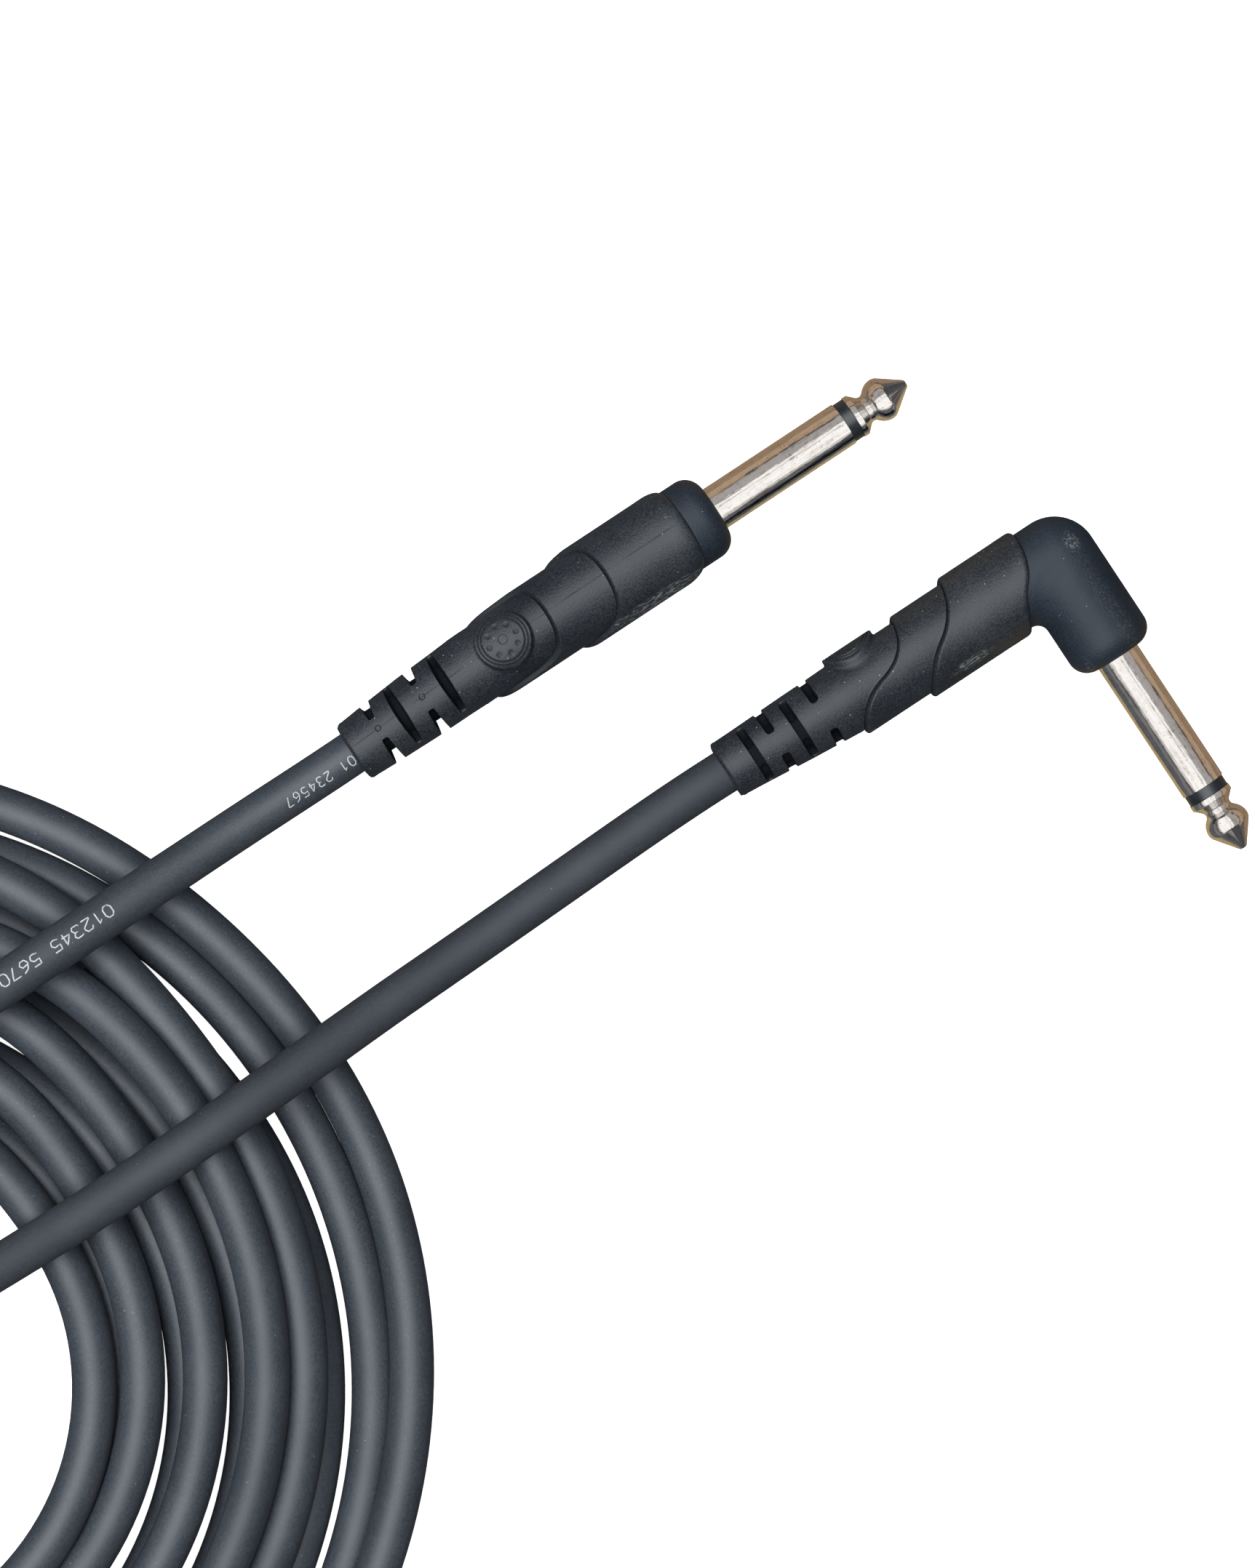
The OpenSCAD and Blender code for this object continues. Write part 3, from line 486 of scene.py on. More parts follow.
    # The skin leans with the cord, and the slots' floors stay on the straight jacket end.
    follow = np.clip((np.hypot(verts[:, 1], verts[:, 2]) - LEAN_FROM) / LEAN_OVER, 0, 1)
    follow[-cols:] = 1
    follow = np.concatenate([follow, np.ones(len(top))])
    verts = turned(np.vstack([verts, top]), roll) + origin
    verts[:, 1] += leaned(verts[:, 0], *g["lean"]) * follow
    slotted = np.zeros((len(xs), cols))
    slotted[:outer] = cut
    slotted = slotted.ravel()[np.array(faces)].mean(1) > DEEP_CUT
    hollow = np.concatenate([hollow.ravel(), top_painted_shade])
    return build(name, verts, faces + top_faces, mats, sharp=50,
                 marks={"hollow": hollow},
                 deep=slotted.tolist() + [0] * len(top_faces))


BOSS_R, BOSS_RISE, BOSS_EDGE = 4.0, 0.9, 0.22
BOSS_GROOVES = ((3.02, 0.15, 0.12), (3.5, 0.13, 0.1))  # radius, half width, width of a side
GROOVE_CUT = 0.26
DIMPLES, DIMPLE_RING, DIMPLE_R, DIMPLE_CUT = 8, 2.15, 0.46, 0.15
DIMPLES_TO = 2.9
MIDDLE_R, MIDDLE_SIDE, MIDDLE_CUT = 0.72, 0.3, 0.12
BOSS_FOOT, BOSS_SKIRT = 0.3, 0.38  # radius of the hollow corner round it, and where it ends
BOSS_SINK = 0.35  # depth of its underside in the grip
# How strong the painted shade is in the boss's grooves and in its dimples.
GROOVE_PAINTED_SHADE, DIMPLE_PAINTED_SHADE = 0.55, 1.5
BOSS_ROWS = [0.02, 0.2, 0.4, 0.46, 0.54, 0.62, 0.68, 0.72, 0.8,
             *np.arange(0.9, 2.85, 0.085),
             2.87, 2.89, 2.92, 2.96, 3.02, 3.08, 3.12, 3.15, 3.17, 3.25, 3.35, 3.37, 3.39, 3.42,
             3.46, 3.5, 3.54, 3.58, 3.61, 3.63, 3.7, 3.78, 3.85, 3.91, 3.96, 3.99]


def boss(g, first):
    """The round boss with its plain rings and dimples, sunk a little into the grip; both carry
    painted shade.
    """
    cols = 160
    phi = np.arange(cols) * TAU / cols
    top_r, foot_r = g["zone_r"] + BOSS_RISE, g["zone_r"]
    rows, dark = [], []

    def grooves(rho):
        return [bulge((half - abs(rho - mid)) / side) for mid, half, side in BOSS_GROOVES]

    def ring(rho, height):
        y = rho * np.sin(phi)
        rows.append(np.stack([-g["boss_x"] + rho * np.cos(phi), y, height(y, rho)], 1))
        # Painted shade, in the grooves and the dimples.
        dimpled = DIMPLE_PAINTED_SHADE * dimple(y, rho) if rho < DIMPLES_TO else 0
        dark.append(GROOVE_PAINTED_SHADE * max(grooves(rho)) + dimpled + np.zeros(cols))

    def dimple(y, rho):
        c, s = rho * np.cos(phi), y
        cut = np.zeros(cols)
        for k in range(DIMPLES):
            a = k * TAU / DIMPLES
            d = np.hypot(c - DIMPLE_RING * math.cos(a), s - DIMPLE_RING * math.sin(a))
            cut = np.maximum(cut, DIMPLE_CUT * np.clip(1 - (d / DIMPLE_R) ** 2, 0, 1))
        return cut

    def face(y, rho):
        drop = dimple(y, rho)
        drop = drop + MIDDLE_CUT * bulge((MIDDLE_R - rho) / MIDDLE_SIDE)
        for groove in grooves(rho):
            drop = drop + GROOVE_CUT * groove
        rounded = max(rho - (BOSS_R - BOSS_EDGE), 0)
        edge = math.sqrt(BOSS_EDGE ** 2 - rounded ** 2)
        return np.sqrt(top_r ** 2 - y ** 2) - drop - BOSS_EDGE + edge

    for rho in BOSS_ROWS:
        ring(rho, face)
    wall = rows[-1][:, 2]
    low = np.sqrt(foot_r ** 2 - (BOSS_R * np.sin(phi)) ** 2) + BOSS_FOOT
    for t in (0.25, 0.5, 0.75, 1.0):
        ring(BOSS_R, lambda y, rho: wall + (low - wall) * t)
    # Round the corner, and then under the grip's skin.
    for q in (0.02, 0.06, 0.12, 0.2, BOSS_FOOT, BOSS_SKIRT):
        corner = max(BOSS_FOOT - q, 0)
        lift = BOSS_FOOT - math.sqrt(BOSS_FOOT ** 2 - corner ** 2) - 0.1 * (q > BOSS_FOOT)
        ring(BOSS_R + q, lambda y, rho: np.sqrt(foot_r ** 2 - y ** 2) + lift)
    for rho in (BOSS_R + BOSS_SKIRT, 3.0, 1.5, 0.02):
        ring(rho, lambda y, rho: np.sqrt((foot_r - BOSS_SINK) ** 2 - y ** 2))
    p = np.array(rows)
    return (p.reshape(-1, 3), grid_faces(len(rows), cols, closed_rows=True, first=first),
            np.array(dark).ravel())


# ---------- inner mouldings ----------
INNER_TURNS = 160
RIM_R, RIM_FLAT = 2.8, 3.3  # the rounded edge round the pin, and where it starts
PIN_HOLE, HOLE_EDGE = 3.19, 3.24
HOLE_ROUND, HOLE_DEEP = 0.06, 3.0
BORE_STOP = 3.2  # the straight plug's bore ends this far behind the face
CORNER_SOFT, CORNER_RUN = 1.7, 6.0  # how soft the elbow's inner corner gets, and over what run
SEAM_EDGE = [(0.1, INNER_R), (0.03, 6.05), (0.02, 5.9), (0.02, CORE_R)]  # ahead of it, radius


def rim_rows():
    """The rounded edge round the pin: how far behind the face, and the radius."""
    return [(RIM_R - RIM_R * math.cos(t), RIM_FLAT + RIM_R * math.sin(t))
            for t in np.linspace(0, math.pi / 2, 18)]


def collar(name, origin, roll, g, mat):
    """The straight plug's inner moulding, from the pin's hole back into the grip."""
    theta = np.arange(INNER_TURNS) * TAU / INNER_TURNS
    same = np.ones(INNER_TURNS)
    seam = wavy(theta, *g["seam"], SEAM_HARD)
    rows = [(-HOLE_DEEP * same, PIN_HOLE), (-HOLE_ROUND * same, PIN_HOLE), (0 * same, HOLE_EDGE)]
    rows += [(-back * same, r) for back, r in rim_rows()]
    for t in np.linspace(0, 1, 7)[1:]:
        rows.append((-RIM_R + (seam + SEAM_EDGE[0][0] + RIM_R) * t, INNER_R))
    rows += [(seam + ahead, r) for ahead, r in SEAM_EDGE[1:]]
    rows += [(g["core_end"] * same, CORE_R), (g["core_end"] * same, BORE_R)]
    rows.append((-BORE_STOP * same, BORE_R))
    p = np.stack([np.stack([x, r * np.sin(theta), r * np.cos(theta)], 1) for x, r in rows])
    verts = turned(p.reshape(-1, 3), roll) + origin
    return build(name, verts, grid_faces(len(rows), INNER_TURNS, closed_rows=True),
                 [mat], sharp=50)


def elbow_gap(p):
    """Distance outside the elbow's two legs, which meet in a soft inner corner."""
    x, y, z = p[:, 0], p[:, 1], p[:, 2]
    body = np.sqrt(np.maximum(x, 0) ** 2 + y ** 2 + z ** 2) - INNER_R
    leg = np.sqrt(x ** 2 + np.maximum(y, 0) ** 2 + z ** 2) - INNER_R
    t = np.clip(-(x + y) / math.sqrt(2) / CORNER_RUN, 0, 1)
    k = 0.001 + CORNER_SOFT * t * t * (3 - 2 * t)
    u, v = np.maximum(k - body, 0), np.maximum(k - leg, 0)
    return np.maximum(k, np.minimum(body, leg)) - np.hypot(u, v)


ELBOW_PIVOT = 9.2  # the corner's fan of rows turns about a point this far inside it
ELBOW_FAN, FAN_HELD = 49, 33  # the fan's rows, and how many rows are held ahead of the seam


def elbow(name, origin, g, mat):
    """The right-angle plug's inner moulding, from inside the grip round to the pin's hole."""
    psi = np.arange(INNER_TURNS) * TAU / INNER_TURNS
    c, s = np.cos(psi), np.sin(psi)
    turn_cos = c * math.sin(-ANGLED_ROLL) + s * math.cos(ANGLED_ROLL)
    seam = wavy(np.arccos(np.clip(turn_cos, -1, 1)), *g["seam"], SEAM_HARD)
    same = np.ones(INNER_TURNS)
    rows = []

    def body_row(x, r):
        rows.append(np.stack([x * same, r * c, r * s], 1))

    def leg_row(y, r):
        rows.append(np.stack([r * c, y * same, r * s], 1))

    def marched(centre, out):
        ray = np.stack([c * out[0], c * out[1], s], 1)
        t = np.full(INNER_TURNS, 3.0)
        for _ in range(60):
            t -= elbow_gap(centre + ray * t[:, None])
        rows.append(centre + ray * t[:, None])

    body_row(g["core_end"] + 3, 0.02)
    body_row(g["core_end"] + 3, BORE_R)
    body_row(g["core_end"], BORE_R)
    body_row(g["core_end"], CORE_R)
    for ahead, r in SEAM_EDGE[::-1]:
        body_row(seam + ahead, r)
    front = len(rows)
    # From the wavy seam the rows lean round to the corner's fan.
    for k, a in enumerate(np.linspace(0, math.pi / 2, ELBOW_FAN)):
        out = np.array([math.sin(a), math.cos(a), 0])
        t = ELBOW_PIVOT / max(out[0], out[1])
        centre = np.array([-ELBOW_PIVOT, -ELBOW_PIVOT, 0]) + out * t
        marched(centre, out)
        if k == 0:
            start = rows.pop()
            for f in (0.25, 0.5, 0.75):
                rows.append(rows[front - 1] * (1 - f) + start * f)
            rows.append(start)
    # No row of the fan lies behind the seam.
    for k, row in enumerate(rows[front:front + FAN_HELD]):
        row[:, 0] = np.maximum(row[:, 0], seam + SEAM_EDGE[0][0] + 0.004 * (k + 1))
    for y in np.linspace(-ELBOW_PIVOT, -LEG_FACE + RIM_R, 6)[1:-1]:
        leg_row(y, INNER_R)
    for back, r in rim_rows()[::-1]:
        leg_row(-LEG_FACE + back, r)
    leg_row(-LEG_FACE, HOLE_EDGE)
    leg_row(-LEG_FACE + HOLE_ROUND, PIN_HOLE)
    leg_row(-LEG_FACE + HOLE_DEEP, PIN_HOLE)
    leg_row(-LEG_FACE + HOLE_DEEP, 0.02)
    p = np.array(rows)
    n, last = INNER_TURNS, (len(rows) - 1) * INNER_TURNS
    faces = grid_faces(len(rows), n)
    faces += [tuple(range(n - 1, -1, -1)), tuple(range(last, last + n))]
    return build(name, p.reshape(-1, 3) + origin, faces, [mat], sharp=50)


# ---------- pins ----------
PIN_R = 3.175


def lathe(name, profile, place, mat):
    """Turns a closed outline of (x, r) pairs about the pin's axis.

    Its pin_place is each point's place moved out to the sleeve's radius, so that marks run
    straight along the pin and down its cone."""
    sides = 144
    a = (np.arange(sides) + 0.5) * TAU / sides

    def ring(x, r):
        return np.stack([np.full(sides, x), r * np.cos(a), r * np.sin(a)], 1)

    p = np.stack([ring(x, r) for x, r in profile])
    even = np.stack([ring(x, PIN_R) for x, r in profile])
    return build(name, place(p.reshape(-1, 3)),
                 grid_faces(len(profile), sides, closed_rows=True), [mat], sharp=32,
                 merge=1e-4, marks={"pin_place": even.reshape(-1, 3) * MM})


def arc(cx, cr, r, a0, a1, n):
    """Points of an arc as (x, r); angles in degrees from the outward direction, towards +x."""
    return [(cx + r * math.sin(math.radians(a)), cr + r * math.cos(math.radians(a)))
            for a in np.linspace(a0, a1, n)]


def tip_profile():
    """The tip's outline: the riveted rod, the flange, the groove, the head and the cone."""
    rod, rivet = 1.25, 1.9
    neck_x, neck, neck_r = 25.205, 1.96, 0.76
    head_x, head, back_r, front_r = 27.704, 3.15, 2.4, 1.5
    cone = 36.8
    out = [(-4.8, 0.0), (-4.8, rivet - 0.2), (-4.7, rivet), (-4.3, rivet), (-4.2, rivet - 0.1),
           (-4.2, rod), (22.95, rod), (22.95, 3.0), (22.98, 3.08), (23.05, 3.12), (23.75, 3.12),
           (23.82, 3.08), (23.85, 3.0)]
    out += arc(neck_x, neck + neck_r, neck_r, 225, 135, 14)
    out += arc(head_x, head - back_r, back_r, -45, 0, 14)
    out += arc(head_x, head - front_r, front_r, 3, cone, 12)
    out += [(31.55, 0.643), (31.65, 0.56), (31.71, 0.48), (31.745, 0.38), (31.754, 0.26),
            (31.754, 0.0)]
    return out


SLEEVE = [(-2.2, 2.0), (-2.2, 4.0), (-1.0, 4.0), (-1.0, 2.9), (0.0, 2.9), (0.0, PIN_R),
          (5.0, PIN_R), (10.0, PIN_R), (15.0, PIN_R), (21.35, PIN_R), (21.42, 3.15),
          (21.45, 3.08), (21.45, 2.0)]
INSULATOR = [(-2.7, 1.25), (-2.7, 2.0), (21.45, 2.0), (21.45, 2.95), (21.5, 3.0), (22.9, 3.0),
             (22.95, 2.95), (22.95, 1.25)]
# Where each pin leaves its moulding.
STRAIGHT_ROOT = np.array([FACE_X, STRAIGHT_Y, AXIS_Z])
ANGLED_ROOT = np.array([ELBOW_X, ANGLED_Y - LEG_FACE, AXIS_Z])


def straight_pin(p):
    return p + STRAIGHT_ROOT


def angled_pin(p):
    return np.stack([p[:, 1], -p[:, 0], p[:, 2]], 1) + ANGLED_ROOT


# ---------- materials ----------
class Paint:
    """A node material whose shader is a Principled BSDF."""

    def __init__(self, name):
        self.mat = bpy.data.materials.new(name)
        self.mat.use_nodes = True
        self.tree = self.mat.node_tree
        self.shader = self.tree.nodes["Principled BSDF"]

    def node(self, kind, inputs=None, **props):
        n = self.tree.nodes.new(kind)
        for k, v in props.items():
            setattr(n, k, v)
        for k, v in (inputs or {}).items():
            self.put(n.inputs[k], v)
        return n

    def put(self, socket, value):
        if isinstance(value, bpy.types.NodeSocket):
            self.tree.links.new(value, socket)
        else:
            socket.default_value = value

    def set(self, **values):
        for k, v in values.items():
            self.put(self.shader.inputs[k.replace("_", " ")], v)

    def mark(self, name):
        return self.node("ShaderNodeAttribute", attribute_name=name)

    def stretched(self, at, scale):
        return self.node("ShaderNodeMapping", {"Vector": at, "Scale": scale}).outputs[0]

    def place(self, scale=(1, 1, 1)):
        return self.stretched(self.node("ShaderNodeTexCoord").outputs["Object"], scale)

    def noise(self, at, size, detail=3.0, rough=0.55):
        """Noise whose lumps are about a size in millimetres."""
        ins = {"Vector": at, "Scale": 1 / (size * MM), "Detail": detail, "Roughness": rough}
        return self.node("ShaderNodeTexNoise", ins).outputs[0]

    def dots(self, at, size, reach, chance):
        """A round dot in some of the cells of a size. Reach and chance go to map(), with the
        distance from the cell's middle and with a number drawn for the cell."""
        cell = self.node("ShaderNodeTexVoronoi", {"Vector": at, "Scale": 1 / (size * MM)})
        drawn = self.node("ShaderNodeSeparateColor", {0: cell.outputs["Color"]}).outputs[0]
        return self.math("MULTIPLY", self.map(cell.outputs["Distance"], *reach),
                         self.map(drawn, *chance))

    def ramp(self, value, stops):
        n = self.node("ShaderNodeValToRGB", {0: value})
        e = n.color_ramp.elements
        while len(e) < len(stops):
            e.new(0.5)
        for el, (pos, col) in zip(e, stops):
            el.position = pos
            el.color = (*col, 1)
        return n.outputs[0]

    def map(self, value, a, b, c, d):
        return self.node("ShaderNodeMapRange", {
            "Value": value, "From Min": a, "From Max": b, "To Min": c, "To Max": d}).outputs[0]

    def math(self, op, a, b=0.0):
        return self.node("ShaderNodeMath", {0: a, 1: b}, operation=op).outputs[0]

    def mix(self, share, a, b):
        """A colour between two, each a colour or a socket."""
        n = self.node("ShaderNodeMix", data_type="RGBA")
        for i, v in ((0, share), (6, a), (7, b)):
            self.put(n.inputs[i], (*v, 1) if isinstance(v, tuple) else v)
        return n.outputs[2]

    def spot(self, at, centre, reach):
        """1 at a place on the object, falling to 0 at its reach; both in millimetres."""
        scale = [1 / (r * MM) for r in reach]
        near = self.node("ShaderNodeMapping", {
            "Vector": at, "Location": [-c / r for c, r in zip(centre, reach)], "Scale": scale})
        far = self.node("ShaderNodeVectorMath", {0: near.outputs[0]}, operation="LENGTH")
        return self.map(far.outputs["Value"], 0.45, 1.0, 1, 0)

    def bump(self, height, strength, distance, normal=None):
        ins = {"Height": height, "Strength": strength, "Distance": distance * MM}
        if normal is not None:
            ins["Normal"] = normal
        return self.node("ShaderNodeBump", ins).outputs[0]


# Colours of rubbed vinyl and dust, which the painted glints share, and of painted shade on vinyl.
DUST_WEAR_AND_GLINT_GREY = (0.40, 0.41, 0.41)
SHADE = (0.004, 0.0045, 0.006)


def vinyl(name, dark, light, size, rough, relief, scuffs_and_glints=(), drawn=1.0, dust=(0.74, 1.0)):
    """Black soft vinyl: a fine eroded grain, painted shade in hollows and on the cord's leads,
    rubbed places, painted glints (painted highlight specks) and dust.

    Size and relief are the grain's, in millimetres. Marks in rubbed places and painted glints are
    stretched along X by 1 / drawn. Dust is the share of places without it, and its strength."""
    p = Paint(name)
    at = p.place()
    grain = p.noise(at, size, 2.5, 0.7)
    patch = p.noise(at, 9.0, 3.0)
    share = p.math("ADD", p.map(patch, 0.3, 0.7, 0.0, 0.6), p.map(grain, 0.36, 0.64, -0.45, 0.5))
    colour = p.mix(p.node("ShaderNodeClamp", {0: share}).outputs[0], dark, light)
    clean, dusty = dust
    dust_wear_and_glints = p.dots(at, 0.9, (0.06, 0.10, 1, 0), (clean, clean + 0.06, 0, dusty))
    # Rubbed places on the grips; on the elbow the same marks are painted glints, painted highlight
    # specks.
    if scuffs_and_glints:
        marks = p.noise(p.place((drawn, 1, 1)), 0.34, 3.0, 0.85)
        scuff_and_glint_marks = p.map(marks, 0.49, 0.62, 0, 1)
        for centre, reach, strength in scuffs_and_glints:
            near = p.math("MULTIPLY", p.spot(at, centre, reach), strength)
            dust_wear_and_glints = p.math("MAXIMUM", dust_wear_and_glints, p.math("MULTIPLY", near, scuff_and_glint_marks))
    colour = p.mix(dust_wear_and_glints, colour, DUST_WEAR_AND_GLINT_GREY)
    # Painted shade darkens the colour towards the shade colour and roughens the surface.
    hollow = p.mark("hollow").outputs["Fac"]
    colour = p.mix(p.math("MULTIPLY", hollow, 0.85), colour, SHADE)
    gloss = p.map(grain, 0.3, 0.7, rough - 0.09, rough + 0.09)
    p.set(Base_Color=colour, Normal=p.bump(grain, 0.7, relief),
          Roughness=p.math("ADD", gloss, p.math("MULTIPLY", hollow, 0.45)))
    p.shader.inputs["IOR"].default_value = 1.52
    return p.mat


def nickel():
    """Bright nickel plate, with marks that run along the pin."""
    p = Paint("nickel_plate")
    pin = p.mark("pin_place").outputs["Vector"]
    ripple = p.noise(p.stretched(pin, (0.16, 1, 1)), 1.4, 3.0, 0.6)
    dent = p.noise(p.stretched(pin, (0.22, 1, 1)), 0.5, 2.0, 0.5)
    streak = p.noise(p.stretched(pin, (0.04, 1, 1)), 0.35, 3.0, 0.6)
    mottle = p.noise(pin, 0.8, 4.0, 0.7)
    colour = p.ramp(p.math("MULTIPLY", p.math("ADD", mottle, streak), 0.5),
                    [(0.34, (0.43, 0.40, 0.37)), (0.44, (0.63, 0.60, 0.567)),
                     (0.54, (0.72, 0.70, 0.683))])
    pits = p.dots(pin, 0.55, (0.10, 0.22, 0.8, 0), (0.72, 0.78, 0, 1))
    colour = p.mix(pits, colour, (0.16, 0.14, 0.12))
    wave = p.bump(dent, 0.7, 0.02, p.bump(ripple, 0.8, 0.075))
    p.set(Base_Color=colour, Metallic=1.0, Roughness=p.map(mottle, 0.3, 0.7, 0.07, 0.17),
          Normal=p.bump(streak, 0.5, 0.014, wave))
    return p.mat


def plain(name, dark, light, size, metallic, rough):
    """A surface that varies between two colours, with lumps of a size in millimetres."""
    p = Paint(name)
    n = p.noise(p.place(), size, 4.0)
    p.set(Base_Color=p.mix(p.map(n, 0.3, 0.7, 0, 1), dark, light), Metallic=metallic,
          Roughness=p.map(n, 0.3, 0.7, rough, rough + 0.15), Normal=p.bump(n, 0.4, 0.01))
    return p.mat


# Rubbed places on the grips, then painted glints on the elbow, that is painted highlight specks:
# centre, reach, strength.
SCUFFS = [((-4.4, 29.8, 9.6), (9.5, 1.5, 3.4), 1.0), ((27.0, -0.8, 10.6), (3.8, 0.8, 2.5), 0.9),
          ((10.0, -1.5, 8.4), (1.6, 0.5, 2.0), 0.6)]
PAINTED_GLINTS = [((47.2, 5.4, 11.4), (1.3, 2.0, 3.0), 0.4), ((40.2, -14.0, 9.5), (0.8, 6.5, 3.0), 0.3),
          ((47.0, -6.0, 12.0), (1.6, 14.0, 3.0), 0.08)]
MOULDING = vinyl("moulding_vinyl", (0.008, 0.011, 0.016), (0.040, 0.044, 0.050), 0.26, 0.50, 0.085,
                 SCUFFS, 0.3)
# The glints given to the inner vinyl are painted highlights.
INNER = vinyl("inner_vinyl", (0.004, 0.0100, 0.018), (0.017, 0.028, 0.043), 0.24, 0.64, 0.075,
              PAINTED_GLINTS, dust=(0.86, 0.6))
JACKET = vinyl("jacket_vinyl", (0.021, 0.026, 0.033), (0.040, 0.046, 0.056), 0.30, 0.56, 0.012,
               dust=(0.90, 0.45))
INK = plain("ink", (0.42, 0.44, 0.46), (0.70, 0.71, 0.72), 0.3, 0.0, 0.5)
# The slots' floors, where hardly any light gets in.
SHADED = plain("deep_vinyl", SHADE, (0.009, 0.010, 0.013), 0.3, 0.0, 0.8)
SHADED.node_tree.nodes["Principled BSDF"].inputs["Specular IOR Level"].default_value = 0.12
NICKEL = nickel()
INSULATION = plain("insulator_plastic", (0.012, 0.015, 0.019), (0.020, 0.024, 0.029), 0.8, 0.0, 0.3)
LOOKS = {
    "nickel": NICKEL, "moulding": MOULDING, "jacket": JACKET, "insulator": INSULATION,
    "brass": plain("brass_sheet", (0.70, 0.50, 0.22), (0.82, 0.64, 0.32), 1.5, 1.0, 0.28),
    "copper": plain("copper_strands", (0.70, 0.36, 0.22), (0.85, 0.50, 0.34), 0.25, 1.0, 0.30),
    "solder": plain("solder_bead", (0.50, 0.51, 0.53), (0.70, 0.71, 0.73), 0.5, 1.0, 0.35),
    "conductive_layer": plain("conductive_vinyl", (0.012, 0.012, 0.012), (0.02, 0.02, 0.02),
                              0.5, 0.0, 0.7),
    "core_insulation": plain("core_plastic", (0.78, 0.77, 0.72), (0.85, 0.84, 0.80),
                             1.0, 0.0, 0.45),
}
for part in frame["record"]["subparts"]:
    node = frame["nodes"].get(part["node"])
    if node is not None:
        node.data.materials.clear()
        node.data.materials.append(LOOKS[part["material_slot"]])

# ---------- the cord ----------
# The leads carry painted shade, darker than the turns. Each pair is (run from the lead's plug, how
# dark).
ANGLED_PAINTED_SHADE = [(0, 0.38), (150, 0.38), (190, 0)]
STRAIGHT_PAINTED_SHADE = [(28, 0), (60, 0.38), (130, 0.38), (170, 0)]


# How much painted shade each point of the cord carries.
def lead_painted_shade(line):
    run = run_of(line)
    return (np.interp(run, *zip(*ANGLED_PAINTED_SHADE))
            + np.interp(run[-1] - run, *zip(*STRAIGHT_PAINTED_SHADE)))


def tube(name, line, radius, mat, shade):
    """A closed tube along a line, whose sides don't twist."""
    sides = 28
    ahead = np.gradient(line, axis=0)
    ahead /= np.linalg.norm(ahead, axis=1, keepdims=True)
    side = np.cross(ahead[0], (0, 0, 1))
    sides_of = []
    for t in ahead:
        side = side - t * (side @ t)
        side /= np.linalg.norm(side)
        sides_of.append(side)
    u = np.array(sides_of)
    v = np.cross(ahead, u)
    a = np.arange(sides) * TAU / sides
    p = line[:, None] + radius * (np.cos(a)[None, :, None] * u[:, None]
                                  + np.sin(a)[None, :, None] * v[:, None])
    faces = grid_faces(len(line), sides)
    last = (len(line) - 1) * sides
    faces += [tuple(range(sides - 1, -1, -1)), tuple(range(last, last + sides))]
    return build(name, p.reshape(-1, 3), faces, [mat], sharp=60,
                 marks={"hollow": np.repeat(shade, sides)})


# Strokes of plain numbers, in a box one wide and one high.
DIGITS = {
    "0": [(.25, 0), (.75, 0), (1, .25), (1, .75), (.75, 1), (.25, 1), (0, .75), (0, .25), (.25, 0)],
    "1": [(.2, .75), (.6, 1), (.6, 0)],
    "2": [(0, .75), (.2, 1), (.8, 1), (1, .8), (1, .62), (0, .1), (0, 0), (1, 0)],
    "3": [(0, .9), (.2, 1), (.8, 1), (1, .8), (.8, .54), (.4, .52), (.8, .5), (1, .25), (.8, 0),
          (.2, 0), (0, .12)],
    "4": [(.75, 0), (.75, 1), (0, .3), (1, .3)],
    "5": [(1, 1), (.1, 1), (.05, .56), (.7, .6), (1, .38), (.85, .06), (.5, 0), (0, .1)],
    "6": [(.9, 1), (.3, .8), (0, .35), (.25, 0), (.75, 0), (1, .28), (.75, .54), (.1, .45)],
    "7": [(0, 1), (1, 1), (.4, 0)],
}
PRINT_RUN = 45  # points of the line, from the straight plug back, that can carry numbers
PEN_STEP, PEN_HALF = 0.3, 0.085 / 1.5  # the pen's half width is a share of a number's height
INK_TOP, INK_FOOT = 0.02, -0.05


